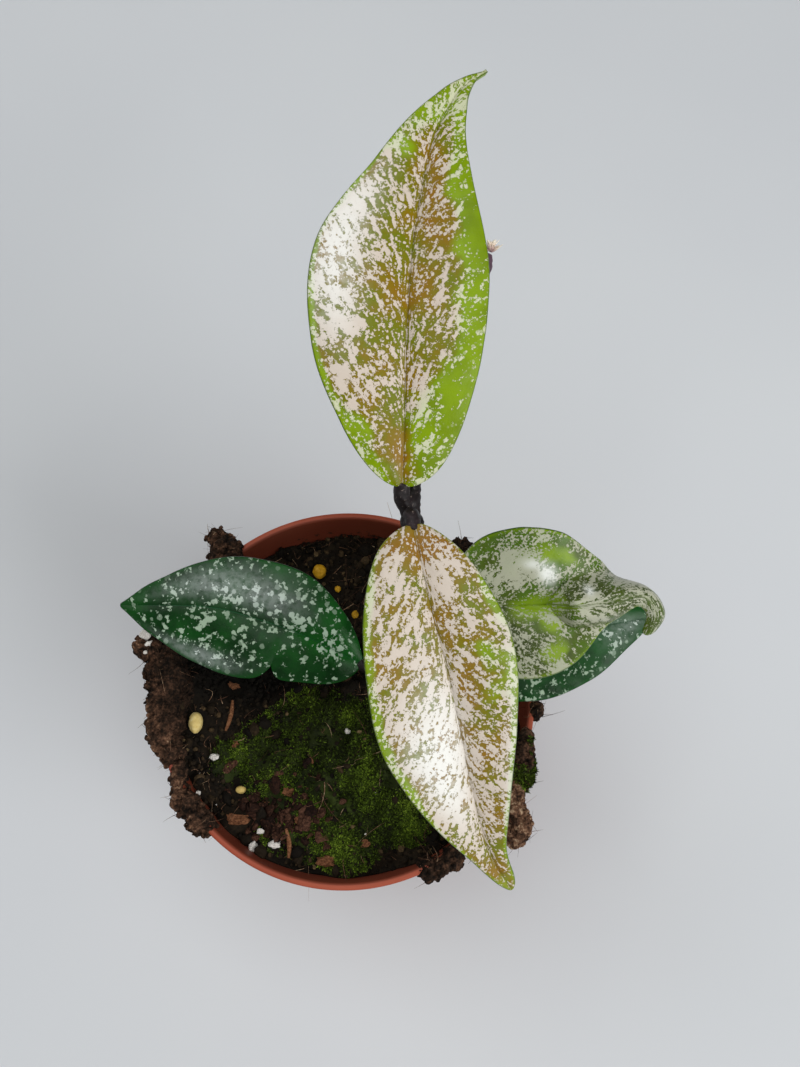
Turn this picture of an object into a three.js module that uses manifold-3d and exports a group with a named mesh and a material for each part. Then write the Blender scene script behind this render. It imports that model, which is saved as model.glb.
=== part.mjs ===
// A hoya vine with five speckled leaves, growing in a plastic nursery pot of peat. Millimetres, +Z up.
// The origin is the middle of the pot's flat underside. +Y is the back, where the vine's tip leans.
import * as THREE from "three";
import { mergeVertices } from "three/addons/utils/BufferGeometryUtils.js";
import Module from "manifold-3d";

const wasm = await Module();
wasm.setup();

// Driving dimensions
const clearance = 0.3; // kept between pieces that rest on each other
const potHeight = 93;
const potRimRadius = 52.5;
const potLipWidth = 1.8; // width of the flat lip on top
const potBaseRadius = 37;
const potWall = 1.3;
const potFloor = 1.8;
const collarHeight = 9;
const potSegments = 48;
const drainHoles = 8;
const drainHoleRadius = 4;
const drainCircleRadius = 24;
const soilLevel = 83.2; // at the pot's axis
const soilFall = 0.045; // the peat drops by this much per millimetre towards the back
const stemRadius = 2.1;
const petioleRadius = 1.9;
const stemHoleDepth = 21;
const bladeThickness = 1.7; // at the midrib
const marginThickness = 0.9;
const grooveDepth = 0.45;
const ribHeight = 0.8;

const colours = {
  pot: 0xb9573f,
  soil: 0x2b1f18,
  peat: 0x4b372d,
  moss: 0x4a6414,
  stem: 0x2e2226,
  tip: 0xe8dcc8,
  paleLeaf: 0x9aa02a,
  greenLeaf: 0x6e9a0f,
  darkLeaf: 0x0f4a22,
  prill: 0xc99a22,
  creamPrill: 0xdcc680,
  perlite: 0xe6dfd6,
  bark: 0x6a4632,
};

const group = new THREE.Group();

// Adds one named piece to the plant.
function addPiece(name, geometry, colour, roughness = 0.8) {
  geometry.computeVertexNormals();
  const material = new THREE.MeshStandardMaterial({ color: colour, roughness, metalness: 0 });
  const mesh = new THREE.Mesh(geometry, material);
  mesh.name = name;
  group.add(mesh);
}

// Solids: a closed geometry becomes a manifold, and a manifold becomes a geometry again.
function solidOf(geometry) {
  const bare = geometry.clone();
  bare.deleteAttribute("normal");
  bare.deleteAttribute("uv");
  const merged = mergeVertices(bare, 1e-4);
  return new wasm.Manifold(
    new wasm.Mesh({
      numProp: 3,
      vertProperties: new Float32Array(merged.attributes.position.array),
      triVerts: new Uint32Array(merged.index.array),
    }),
  );
}

function geometryOf(solid) {
  const mesh = solid.getMesh();
  const geometry = new THREE.BufferGeometry();
  const positions = new Float32Array(mesh.numVert * 3);
  for (let i = 0; i < mesh.numVert; i++) {
    positions.set(mesh.vertProperties.subarray(i * mesh.numProp, i * mesh.numProp + 3), i * 3);
  }
  geometry.setAttribute("position", new THREE.BufferAttribute(positions, 3));
  geometry.setIndex(new THREE.BufferAttribute(mesh.triVerts, 1));
  return geometry;
}

// A cut can leave loose scraps at a thin edge, so only the largest body is kept.
function largestBody(solid) {
  return solid.asOriginal().decompose().reduce((best, body) => (body.volume() > best.volume() ? body : best));
}

// Joins solids, and forgets what they were made of, which keeps the later cuts quick.
function unite(solids) {
  return solids.reduce((all, one) => all.add(one)).asOriginal();
}

// Small numeric helpers
function smoothStep(from, to, value) {
  const k = Math.min(1, Math.max(0, (value - from) / (to - from)));
  return k * k * (3 - 2 * k);
}

// Repeatable draws between 0 and 1
function makeRandom(seed) {
  let state = seed;
  return () => {
    state = (state * 1664525 + 1013904223) % 4294967296;
    return state / 4294967296;
  };
}

// Smooth curve through evenly numbered values, for k between 0 and 1
function smoothValue(values, k) {
  const last = values.length - 1;
  const place = Math.min(Math.max(k, 0), 1) * last;
  const i = Math.min(Math.floor(place), last - 1);
  const f = place - i;
  const b = values[i];
  const c = values[i + 1];
  const a = i > 0 ? values[i - 1] : 2 * b - c;
  const d = i + 2 <= last ? values[i + 2] : 2 * c - b;
  const bend = 2 * a - 5 * b + 4 * c - d;
  const twist = 3 * b - a - 3 * c + d;
  return 0.5 * (2 * b + (c - a) * f + bend * f * f + twist * f ** 3);
}

function smoothPoint(points, k) {
  return new THREE.Vector3(...[0, 1, 2].map((axis) => smoothValue(points.map((p) => p[axis]), k)));
}

function smoothDirection(points, k, step) {
  const ahead = smoothPoint(points, Math.min(1, k + step));
  return ahead.sub(smoothPoint(points, Math.max(0, k - step))).normalize();
}

// The pot: a thin tapered wall with a collar round the top and a flat floor with drain holes
function potInnerRadius(z) {
  const floorRadius = potBaseRadius - potWall;
  const rimRadius = potRimRadius - potLipWidth;
  return floorRadius + ((rimRadius - floorRadius) * (z - potFloor)) / (potHeight - potFloor);
}

function lathe(profile, segments) {
  const geometry = new THREE.LatheGeometry(
    profile.map(([r, z]) => new THREE.Vector2(r, z)),
    segments,
  );
  geometry.rotateX(Math.PI / 2);
  return geometry;
}

function makePot() {
  const collarFoot = potHeight - collarHeight;
  const profile = [
    [0, 0],
    [potBaseRadius - 1, 0],
    [potBaseRadius, 1],
    [potInnerRadius(collarFoot - 1) + potWall, collarFoot - 1],
    [potRimRadius - 1.3, collarFoot],
    [potRimRadius, potHeight - 0.8],
    [potRimRadius - 0.4, potHeight],
    [potRimRadius - potLipWidth + 0.3, potHeight],
    [potRimRadius - potLipWidth, potHeight - 0.5],
    [potInnerRadius(potFloor), potFloor],
    [0, potFloor],
  ];
  let pot = solidOf(lathe(profile, potSegments));
  for (let i = 0; i < drainHoles; i++) {
    const angle = ((i + 0.5) * 2 * Math.PI) / drainHoles;
    const hole = new THREE.CylinderGeometry(drainHoleRadius, drainHoleRadius, 3 * potFloor, 8);
    hole.rotateX(Math.PI / 2);
    hole.translate(drainCircleRadius * Math.cos(angle), drainCircleRadius * Math.sin(angle), potFloor / 2);
    pot = pot.subtract(solidOf(hole));
  }
  return pot;
}

// Peat surface: higher at the front, heaped against the left and right rims, gently lumpy
function soilTop(x, y) {
  const leftHeap = 7 * smoothStep(30, 50, -x) * (1 - smoothStep(12, 32, Math.abs(y)));
  const rightHeap = 5 * smoothStep(34, 48, x) * (1 - smoothStep(8, 18, Math.abs(y + 22)));
  const lumps =
    0.9 * Math.sin(0.31 * x + 1.3) * Math.cos(0.27 * y - 0.4) +
    0.6 * Math.sin(0.42 * x - 0.36 * y + 2) +
    0.4 * Math.cos(0.5 * x + 0.62 * y);
  return soilLevel - soilFall * y + leftHeap + rightHeap + lumps;
}

// Closes a disc of rings into a solid. Top and bottom give z at a point, and edge the outer radius at an
// angle.
function discSolid({ centre = [0, 0], rings, segments, edge, top, bottom, sideRadius }) {
  const positions = [];
  const faces = [];
  const spot = (angle, fraction) => {
    const radius = edge(angle) * fraction;
    return [centre[0] + radius * Math.cos(angle), centre[1] + radius * Math.sin(angle)];
  };
  positions.push(centre[0], centre[1], top(...centre));
  for (let ring = 1; ring <= rings; ring++) {
    for (let i = 0; i < segments; i++) {
      const [x, y] = spot((i * 2 * Math.PI) / segments, ring / rings);
      positions.push(x, y, top(x, y));
    }
  }
  const under = positions.length / 3;
  for (let i = 0; i < segments; i++) {
    const angle = (i * 2 * Math.PI) / segments;
    const [x, y] = spot(angle, 1);
    const z = bottom(x, y);
    const radius = sideRadius ? sideRadius(z) : edge(angle);
    positions.push(centre[0] + radius * Math.cos(angle), centre[1] + radius * Math.sin(angle), z);
  }
  const low = positions.length / 3;
  positions.push(centre[0], centre[1], bottom(...centre));
  const at = (ring, i) => 1 + (ring - 1) * segments + (i % segments);
  for (let i = 0; i < segments; i++) {
    faces.push(0, at(1, i), at(1, i + 1));
    for (let ring = 1; ring < rings; ring++) {
      faces.push(at(ring, i), at(ring + 1, i), at(ring + 1, i + 1));
      faces.push(at(ring, i), at(ring + 1, i + 1), at(ring, i + 1));
    }
    const a = under + i;
    const b = under + ((i + 1) % segments);
    faces.push(at(rings, i), a, b);
    faces.push(at(rings, i), b, at(rings, i + 1));
    faces.push(low, b, a);
  }
  const geometry = new THREE.BufferGeometry();
  geometry.setAttribute("position", new THREE.Float32BufferAttribute(positions, 3));
  geometry.setIndex(faces);
  return solidOf(geometry);
}

function soilRadius(z) {
  return potInnerRadius(z) - clearance - 0.1;
}

function makeSoil() {
  const guess = potInnerRadius(soilLevel) - clearance;
  return discSolid({
    rings: 9,
    segments: potSegments,
    edge: (angle) => soilRadius(soilTop(guess * Math.cos(angle), guess * Math.sin(angle))),
    top: soilTop,
    bottom: () => potFloor + clearance,
    sideRadius: soilRadius,
  });
}

// A lumpy ball: a unit sphere swollen and dented by seeded waves, then stretched and placed
function lump([x, y, z], [a, b, c], seed, detail = 3, roughness = 0.16) {
  const random = makeRandom(seed);
  const waves = Array.from({ length: 5 }, () => ({
    direction: new THREE.Vector3(random() - 0.5, random() - 0.5, random() - 0.5).multiplyScalar(9),
    phase: random() * 2 * Math.PI,
  }));
  const ball = new THREE.IcosahedronGeometry(1, detail);
  ball.deleteAttribute("normal");
  ball.deleteAttribute("uv");
  const geometry = mergeVertices(ball);
  const position = geometry.attributes.position;
  const point = new THREE.Vector3();
  for (let i = 0; i < position.count; i++) {
    point.fromBufferAttribute(position, i).normalize();
    const swell = waves.reduce((sum, wave) => sum + Math.sin(point.dot(wave.direction) + wave.phase), 0);
    const radius = 1 + (roughness * swell) / 2;
    position.setXYZ(i, x + point.x * radius * a, y + point.y * radius * b, z + point.z * radius * c);
  }
  return solidOf(geometry);
}

// Peat that spilled over the rim. Each clump is a few lumps: centre, half sizes.
const clumps = {
  peat_clump_left: [
    [[-50.5, 3, 92], [7, 15, 6.5]],
    [[-49.5, -9, 91], [5.5, 9, 6]],
    [[-55, 12.5, 94.5], [4.5, 4.5, 4.5]],
    [[-47.5, -2, 89], [4.5, 12, 4.5]],
  ],
  peat_clump_front_left: [[[-40.5, -33.5, 91.5], [6, 6, 4.5]]],
  peat_clump_back_left: [
    [[-35.5, 41, 92.5], [6, 5.5, 4.5]],
    [[-37.5, 45, 93], [3.5, 3, 3.5]],
  ],
  peat_clump_hanging: [
    [[46.5, -27, 91], [5, 5.5, 5]],
    [[48.5, -34, 87.5], [5.4, 7, 6.5]],
  ],
  peat_clump_front_right: [[[25.5, -46, 91.5], [7, 4, 4]]],
  peat_crumb_front: [[[35, -41, 92.5], [3.2, 3.2, 2.6]]],
  peat_crumb_right: [[[50.5, -5.5, 92.6], [3.4, 3.2, 2.6]]],
  peat_crumb_back: [[[33, 42, 92.6], [3.6, 3, 2.6]]],
};

// The pot's wall grown by the clearance, which the clumps are cut by
function grownPotWall() {
  const grown = clearance;
  const profile = [
    [potBaseRadius, 40],
    [potRimRadius + grown, 60],
    [potRimRadius + grown, potHeight + grown],
    [potRimRadius - potLipWidth - grown, potHeight + grown],
    [potInnerRadius(60) - grown, 60],
    [potInnerRadius(40) - grown, 40],
    [potBaseRadius, 40],
  ];
  return solidOf(lathe(profile, potSegments));
}

// What lies on a body is cut by it and by the same body raised, which leaves the clearance under it.
function withRaisedCopy(body) {
  return body.add(body.translate(0, 0, clearance + 0.05));
}

// Moss: a low lumpy mat in front of the stem, and a small patch at the left and right
const mossPatches = {
  moss_mat: { centre: [2, -22], size: [31, 21], height: 3.2, rings: 5, segments: 22 },
  moss_patch_right: { centre: [45, -18], size: [5.5, 8.5], height: 3.4, rings: 3, segments: 12 },
  moss_patch_left: { centre: [-33, -18], size: [5, 5.5], height: 1.8, rings: 2, segments: 10 },
};

function mossEdge({ size }, angle) {
  const oval = 1 / Math.hypot(Math.cos(angle) / size[0], Math.sin(angle) / size[1]);
  return oval * (1 + 0.09 * Math.sin(3 * angle + 1) + 0.06 * Math.sin(7 * angle));
}

function mossTop(patch, x, y) {
  const [dx, dy] = [x - patch.centre[0], y - patch.centre[1]];
  const out = Math.hypot(dx, dy) / mossEdge(patch, Math.atan2(dy, dx));
  const tufts = 0.75 + 0.25 * Math.sin(0.9 * x + 0.4 * y) * Math.cos(0.8 * y - 0.3 * x);
  return soilTop(x, y) + patch.height * tufts * Math.sqrt(Math.max(0, 1.05 - out * out));
}

function makeMoss(patch) {
  return discSolid({
    ...patch,
    edge: (angle) => mossEdge(patch, angle),
    top: (x, y) => mossTop(patch, x, y),
    bottom: (x, y) => soilTop(x, y) - 2,
  });
}

// What a grain lies on: the peat, or moss where it grows
function groundTop(x, y) {
  return Math.max(soilTop(x, y), ...Object.values(mossPatches).map((patch) => mossTop(patch, x, y)));
}

// Tube of changing radius along a smooth curve, closed at both ends
function taperedTube(points, radii, sides, steps) {
  const positions = [];
  const faces = [];
  let side = new THREE.Vector3(1, 0, 0);
  for (let i = 0; i <= steps; i++) {
    const k = i / steps;
    const centre = smoothPoint(points, k);
    const along = smoothDirection(points, k, 0.01);
    side = side.clone().addScaledVector(along, -side.dot(along)).normalize();
    const other = new THREE.Vector3().crossVectors(along, side);
    const radius = smoothValue(radii, k);
    for (let j = 0; j < sides; j++) {
      const angle = (j * 2 * Math.PI) / sides;
      const point = centre.clone();
      point.addScaledVector(side, radius * Math.cos(angle));
      point.addScaledVector(other, radius * Math.sin(angle));
      positions.push(point.x, point.y, point.z);
    }
  }
  const first = smoothPoint(points, 0);
  const last = smoothPoint(points, 1);
  const firstIndex = positions.length / 3;
  positions.push(first.x, first.y, first.z, last.x, last.y, last.z);
  for (let j = 0; j < sides; j++) {
    const next = (j + 1) % sides;
    for (let i = 0; i < steps; i++) {
      const a = i * sides + j;
      const b = i * sides + next;
      faces.push(a, b, b + sides, a, b + sides, a + sides);
    }
    faces.push(firstIndex, next, j);
    faces.push(firstIndex + 1, steps * sides + j, steps * sides + next);
  }
  const geometry = new THREE.BufferGeometry();
  geometry.setAttribute("position", new THREE.Float32BufferAttribute(positions, 3));
  geometry.setIndex(faces);
  return solidOf(geometry);
}

// The vine: out of the peat, through three nodes, then leaning back under the upper leaf
const stemFoot = [9, 4];
const lowNode = [10.5, 5.5, 99];
const middleNode = [15, 16, 128];
const topNode = [17.8, 30, 155];
const vineEnd = [36, 93.5, 165.5];
const vinePath = [
  [...stemFoot, soilLevel - stemHoleDepth],
  [...stemFoot, 74],
  [9, 4, 87],
  lowNode,
  [12, 10.5, 113],
  middleNode,
  [16.5, 22.5, 142],
  topNode,
  [18.5, 41, 157.5],
  [22.5, 55, 161],
  [29, 74, 164.5],
  vineEnd,
];
const vineRadii = [1, 1, 1.1, 1, 0.95, 0.95, 0.9, 0.95, 0.75, 0.65, 0.6, 0.75].map((k) => k * stemRadius);

// Each leaf: midrib points, the direction its upper face looks, half widths and slopes from base to tip.
// A slope is the rise of the blade across, in degrees, at the midrib (fold) and at the margin (edge).
const leaves = {
  leaf_upper: {
    colour: colours.paleLeaf,
    node: topNode,
    midrib: [
      [15.5, 36.5, 161],
      [16, 50, 168],
      [16.5, 68, 175.5],
      [18, 87.5, 181.5],
      [23, 108, 185.5],
      [35, 129.5, 185.5],
    ],
    up: [0.05, -0.3, 0.95],
    left: [0, 7.5, 15, 21.5, 22, 12.5, 6.5, 2.5, 0],
    right: [0, 8, 13.5, 17.5, 17.5, 10.5, 4, 1.5, 0],
    foldLeft: [22, 20, 22, 30],
    edgeLeft: [0, -6, -6, 5],
    foldRight: [22, 24, 28, 35],
    edgeRight: [-8, -8, 0, 10],
  },
  leaf_lower: {
    colour: colours.paleLeaf,
    node: topNode,
    midrib: [
      [18, 27, 162],
      [19.5, 19, 162],
      [22, 8, 159.5],
      [25.5, -4, 153.5],
      [28.5, -16.5, 145.5],
      [31.5, -29, 136.5],
      [36, -42.5, 126],
      [42, -51.5, 117],
    ],
    up: [0, -0.3, 0.95],
    left: [0, 6, 12.5, 16, 13.5, 9, 4.5, 2.5, 0],
    right: [0, 8, 14, 18.5, 19, 12.5, 5, 2, 0],
    foldLeft: [20, 25, 25, 30],
    edgeLeft: [-15, -5, 0, 5],
    foldRight: [20, 28, 30, 35],
    edgeRight: [-15, 0, 5, 10],
  },
  leaf_curled: {
    colour: colours.greenLeaf,
    node: middleNode,
    rows: 34,
    columns: [0.1, 0.2, 0.3, 0.4, 0.52, 0.72, 1],
    midrib: [
      [26, 15, 134],
      [35, 15, 135.5],
      [43.5, 14.5, 137],
      [51.5, 14.5, 138.2],
      [59, 15.3, 138.8],
      [66.5, 16.2, 139],
      [72.6, 15.2, 138],
      [76.3, 11.5, 134.5],
      [75.3, 7.5, 130],
    ],
    guide: [[24.5, 15, 134], [44, 14.5, 138], [63, 15, 141], [74.5, 13, 139], [77, 4, 134]],
    up: [0, -0.3, 0.95],
    left: [0, 4.5, 11, 16, 19, 20.2, 18, 9.2, 6.5, 5, 3.5, 2.5, 0],
    right: [0, 4.5, 10, 15, 17.5, 17.8, 15, 8.8, 3.3, 2.4, 2.2, 1.8, 0],
    foldLeft: [15, 15, 15, 18, 20, 20, 10, -5, -10, -10, -10],
    edgeLeft: [10, 10, 15, 20, 20, 15, 0, -80, -100, -80, -60],
    foldRight: [20, 20, 20, 20, 20, 20, 10, 0, -5, -5, -5],
    edgeRight: [0, 0, 0, 5, 10, 10, 10, 5, -40, -60, -60],
    thinning: 0.4,
    nose: {
      start: 0.42,
      rise: 0.1,
      widen: 0.12,
      middle: -0.3,
      back: 6,
      front: 6.6,
      roundBack: 2,
      roundFront: 3.2,
      height: 7,
      sink: 0.3,
      lean: [0, -0.4],
      upright: [0.62, 0.85],
    },
  },
  leaf_dark_left: {
    colour: colours.darkLeaf,
    node: lowNode,
    rows: 24,
    midrib: [[4.5, 6, 104.5], [-9.5, 12, 110.5], [-23, 16.5, 112.5], [-37, 20, 111.5], [-61.5, 22, 105]],
    up: [0, -0.25, 0.95],
    left: [0, 7, 11.5, 14.5, 17, 15, 8.5, 2.5, 0],
    right: [0, 4, 10, 15.5, 15.5, 11.5, 6.5, 2, 0],
    foldLeft: [15, 12, 10, 20],
    edgeLeft: [-20, -15, -15, -5],
    foldRight: [15, 12, 10, 20],
    edgeRight: [-20, -15, -15, -5],
    notch: { at: 0.335, depth: 3.5, width: 0.03 },
  },
  leaf_dark_right: {
    colour: colours.darkLeaf,
    node: lowNode,
    midrib: [[18, 6.5, 104.5], [33, 7.5, 108], [50, 11.5, 110], [68.5, 15, 110], [84, 18.5, 107]],
    up: [0, -0.25, 0.95],
    left: [0, 5, 9.5, 14, 16, 13, 7, 2.5, 0],
    right: [0, 5.5, 9.5, 14, 16.5, 13.5, 7, 2.5, 0],
    foldLeft: [15, 12, 10, 20],
    edgeLeft: [-10, -10, -10, -5],
    foldRight: [15, 12, 10, 20],
    edgeRight: [-10, -10, -10, -5],
  },
};

// Turns the share of the midrib's length into a point and a direction on it.
function midlineOf(points) {
  const samples = 200;
  const lengths = [0];
  let before = smoothPoint(points, 0);
  for (let i = 1; i <= samples; i++) {
    const here = smoothPoint(points, i / samples);
    lengths.push(lengths[i - 1] + here.distanceTo(before));
    before = here;
  }
  return (share) => {
    const wanted = share * lengths[samples];
    let i = lengths.findIndex((length) => length >= wanted);
    i = Math.max(1, i);
    const k = (i - 1 + (wanted - lengths[i - 1]) / (lengths[i] - lengths[i - 1])) / samples;
    return { point: smoothPoint(points, k), along: smoothDirection(points, k, 0.001) };
  };
}

// Half width of the blade: listed from base to tip, closer together at both ends
function halfWidth(leaf, share, across) {
  const list = across < 0 ? leaf.left : leaf.right;
  const width = smoothValue(list, Math.acos(1 - 2 * share) / Math.PI);
  const notch = leaf.notch && across < 0 ? leaf.notch : { at: 0, depth: 0, width: 1 };
  const cut = notch.depth * Math.exp(-(((share - notch.at) / notch.width) ** 2));
  return Math.max(width - cut, 1.6 * (1 - share) ** 8, 0.45);
}

// Nose: the blade's end is swollen upward in a blunt snout over the midrib that leans to the front.
function noseLift(nose, share, distance) {
  const offset = distance - nose.middle;
  const widened = Math.sqrt(smoothStep(nose.start, nose.start + nose.widen, share)) + 0.04;
  const reach = (offset < 0 ? nose.back : nose.front) * widened;
  const out = Math.min(1, Math.abs(offset) / reach);
  const dome = (1 - out ** (offset < 0 ? nose.roundBack : nose.roundFront)) ** 2;
  const risen = smoothStep(nose.start, nose.start + nose.rise, share);
  const height = nose.height * risen * dome * (1 - nose.sink * smoothStep(0.7, 1, share));
  const leaning = 1 - smoothStep(nose.upright[0], nose.upright[1], share);
  return new THREE.Vector3(nose.lean[0] * leaning, nose.lean[1] * leaning, 1).multiplyScalar(height);
}

// Middle surface of the blade: from the midrib the section climbs at slopes that change from fold to edge.
function bladePoint(leaf, midline, guide, share, across) {
  const { point, along } = midline(share);
  const direction = guide ? guide(share).along : along;
  const up = new THREE.Vector3(...leaf.up);
  up.addScaledVector(direction, -up.dot(direction)).normalize();
  const side = new THREE.Vector3().crossVectors(direction, up);
  const suffix = across < 0 ? "Left" : "Right";
  const fold = smoothValue(leaf["fold" + suffix], share);
  const edge = smoothValue(leaf["edge" + suffix], share);
  const reach = Math.abs(across);
  const steps = 12;
  let sideways = 0;
  let upwards = 0;
  for (let i = 0; i < steps; i++) {
    const k = ((i + 0.5) / steps) * reach;
    const slope = THREE.MathUtils.degToRad(fold + (edge - fold) * k);
    sideways += Math.cos(slope) / steps;
    upwards += Math.sin(slope) / steps;
  }
  const width = halfWidth(leaf, share, across) * reach;
  point.addScaledVector(side, Math.sign(across) * width * sideways);
  point.addScaledVector(up, width * upwards);
  return leaf.nose ? point.add(noseLift(leaf.nose, share, Math.sign(across) * width)) : point;
}

// Blade with real thickness: thick along the midrib, grooved above and ribbed below, thin at the margin
function makeBlade(leaf) {
  const rows = leaf.rows ?? 20;
  const half = leaf.columns ?? [0.12, 0.42, 0.74, 1];
  const columns = [...half.map((k) => -k).reverse(), 0, ...half];
  const midline = midlineOf(leaf.midrib);
  const guide = leaf.guide ? midlineOf(leaf.guide) : null;
  const surface = (share, across) => {
    const inside = Math.min(1, Math.max(0, share));
    return bladePoint(leaf, midline, guide, inside, across);
  };
  const upper = [];
  const lower = [];
  for (let i = 0; i < rows; i++) {
    const q = i / (rows - 1);
    const share = 0.45 * q + (0.55 * (1 - Math.cos(Math.PI * q))) / 2;
    for (const across of columns) {
      const here = surface(share, across);
      const alongLeaf = surface(share + 0.01, across).sub(surface(share - 0.01, across));
      const acrossLeaf = surface(share, across + 0.06).sub(surface(share, across - 0.06));
      const normal = acrossLeaf.cross(alongLeaf).normalize();
      const distance = halfWidth(leaf, share, across || 1) * Math.abs(across);
      const thinned = 1 - (leaf.thinning ?? 0) * smoothStep(0.6, 1, share);
      const thickness = thinned * (bladeThickness + (marginThickness - bladeThickness) * across * across);
      const groove = grooveDepth * Math.exp(-((distance / 1.3) ** 2));
      const rib = ribHeight * Math.exp(-((distance / 1.6) ** 2)) * (1 - share);
      upper.push(here.clone().addScaledVector(normal, thickness / 2 - groove));
      lower.push(here.clone().addScaledVector(normal, -thickness / 2 - rib));
    }
  }
  const count = columns.length;
  const positions = [...upper, ...lower].flatMap((p) => [p.x, p.y, p.z]);
  const faces = [];
  const under = upper.length;
  const quad = (a, b, c, d) => faces.push(a, b, c, a, c, d);
  for (let i = 0; i < rows - 1; i++) {
    for (let j = 0; j < count - 1; j++) {
      const a = i * count + j;
      quad(a, a + 1, a + count + 1, a + count);
      faces.push(under + a, under + a + count + 1, under + a + 1);
      faces.push(under + a, under + a + count, under + a + count + 1);
    }
    const left = i * count;
    const right = left + count - 1;
    quad(left, left + count, under + left + count, under + left);
    quad(right, under + right, under + right + count, right + count);
  }
  const lastRow = (rows - 1) * count;
  for (let j = 0; j < count - 1; j++) {
    quad(j, under + j, under + j + 1, j + 1);
    quad(lastRow + j, lastRow + j + 1, under + lastRow + j + 1, under + lastRow + j);
  }
  const geometry = new THREE.BufferGeometry();
  geometry.setAttribute("position", new THREE.Float32BufferAttribute(positions, 3));
  geometry.setIndex(faces);
  return geometry;
}

// The leaf stalk runs from its node to just short of the blade, in line with the midrib there.
function petiole(leaf) {
  const { point, along } = midlineOf(leaf.midrib)(0);
  const end = point.clone().addScaledVector(along, -clearance - 0.15);
  const before = end.clone().addScaledVector(along, -2.5);
  const from = new THREE.Vector3(...leaf.node);
  const between = from.clone().lerp(before, 0.5);
  const path = [from, between, before, end].map((p) => p.toArray());
  return taperedTube(path, [1.05, 0.95, 0.95, 0.85].map((k) => k * petioleRadius), 8, 4);
}

// Short root nubs that the vine puts out near its nodes: place, direction, length
const rootNubs = [
  [[16.5, 24, 146], [0.9, 0.3, -0.2], 3.2],
  [[18.8, 30.5, 152.5], [1, -0.1, 0.2], 3.4],
  [[12.5, 11.5, 116], [-0.8, 0.5, 0], 3.4],
  [[9.2, 4.4, 91], [-0.7, -0.7, 0], 3.4],
  [[14, 13.5, 123], [0.5, -0.9, -0.1], 3.2],
];

function makeStem() {
  const pieces = [taperedTube(vinePath, vineRadii, 8, 28)];
  for (const [index, node] of [lowNode, middleNode, topNode].entries()) {
    pieces.push(lump(node, [2.7, 2.7, 2.3], 31 + index, 1, 0.06));
  }
  for (const leaf of Object.values(leaves)) {
    pieces.push(petiole(leaf));
  }
  for (const [from, direction, length] of rootNubs) {
    const start = new THREE.Vector3(...from);
    const step = new THREE.Vector3(...direction).normalize().multiplyScalar(length / 2);
    const path = [0, 1, 2].map((k) => start.clone().addScaledVector(step, k).toArray());
    pieces.push(taperedTube(path, [0.8, 0.65, 0.4], 5, 2));
  }
  // The scar of the curled leaf's fallen partner
  pieces.push(lump([12.6, 17.2, 129], [1.5, 1.2, 1.3], 41, 1, 0.05));
  return unite(pieces);
}

// Two folded leaflets at the vine's end
function makeGrowingTip() {
  const start = new THREE.Vector3(...vineEnd).add(new THREE.Vector3(0.3, 1.3, 0.1));
  const leaflet = (lean) => {
    const points = [0, 1, 2, 3].map((k) => [start.x + lean * k * 0.5, start.y + 1.1 * k, start.z + 0.9 * k]);
    return taperedTube(points, [0.9, 1.2, 0.9, 0.25], 6, 4);
  };
  return leaflet(1).add(leaflet(-0.9));
}

// Loose grains on the peat: place on the surface, half sizes
const grains = {
  yellow_prill: [
    [[-8.9, 37.2], [1.5, 1.7, 1.4]],
    [[-3.4, 31.9], [1.2, 1.3, 1.2]],
    [[1.8, 24.1], [1.2, 1.3, 1.2]],
  ],
  cream_prill: [
    [[-42.4, -8.1], [2.4, 3, 2.3]],
    [[-29.5, -26], [2, 1.5, 1.6]],
  ],
  perlite: [
    [[-36.9, -17.3], [1.6, 1.2, 1.2]],
    [[-41.2, -27.1], [1.2, 1, 1]],
    [[-25.2, -41.3], [1.5, 1.9, 1.4]],
    [[-19.5, -40.6], [2, 1.4, 1.4]],
    [[-23.4, -37.2], [1.3, 1.1, 1.2]],
    [[0.2, -10], [1.1, 1, 1]],
  ],
  bark_chip: [
    [[-29.5, -34], [3.6, 2, 1.6]],
    [[-15.9, -26.8], [1.8, 1.4, 1.6]],
    [[-31.2, -13.7], [1.4, 1.2, 1.1]],
    [[-5.4, -45], [3.2, 1.8, 1.8]],
    [[5.7, -40.5], [1.6, 1.3, 1.6]],
    [[-33.5, 3.2], [3, 1.3, 1.2]],
  ],
};
const grainLooks = {
  yellow_prill: { colour: colours.prill, detail: 1 },
  cream_prill: { colour: colours.creamPrill, detail: 1 },
  perlite: { colour: colours.perlite, detail: 0 },
  bark_chip: { colour: colours.bark, detail: 0 },
};

// Dry needles lying on the peat: two ends, as places on the surface
const needles = {
  needle_left: [[-32.7, -1.2], [-34.4, -9.8]],
  needle_front: [[-16.2, -36.5], [-15.3, -44.2]],
};

function makeNeedle([[x0, y0], [x1, y1]]) {
  const points = [0, 0.5, 1].map((k) => {
    const x = x0 + (x1 - x0) * k;
    const y = y0 + (y1 - y0) * k;
    return [x, y, groundTop(x, y) + 0.8];
  });
  return taperedTube(points, [0.55, 0.7, 0.4], 6, 4);
}

// Assembly, from the pot up
const pot = makePot();
const wholeSoil = makeSoil();
const stemHole = new THREE.CylinderGeometry(
  stemRadius * 1.1 + clearance,
  stemRadius * 1.1 + clearance,
  2 * stemHoleDepth,
  14,
);
stemHole.rotateX(Math.PI / 2);
stemHole.translate(...stemFoot, soilLevel - clearance);
const hole = solidOf(stemHole);
const soil = wholeSoil.subtract(hole);
addPiece("pot", geometryOf(pot), colours.pot, 0.45);
addPiece("soil", geometryOf(soil), colours.soil, 0.95);

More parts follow.
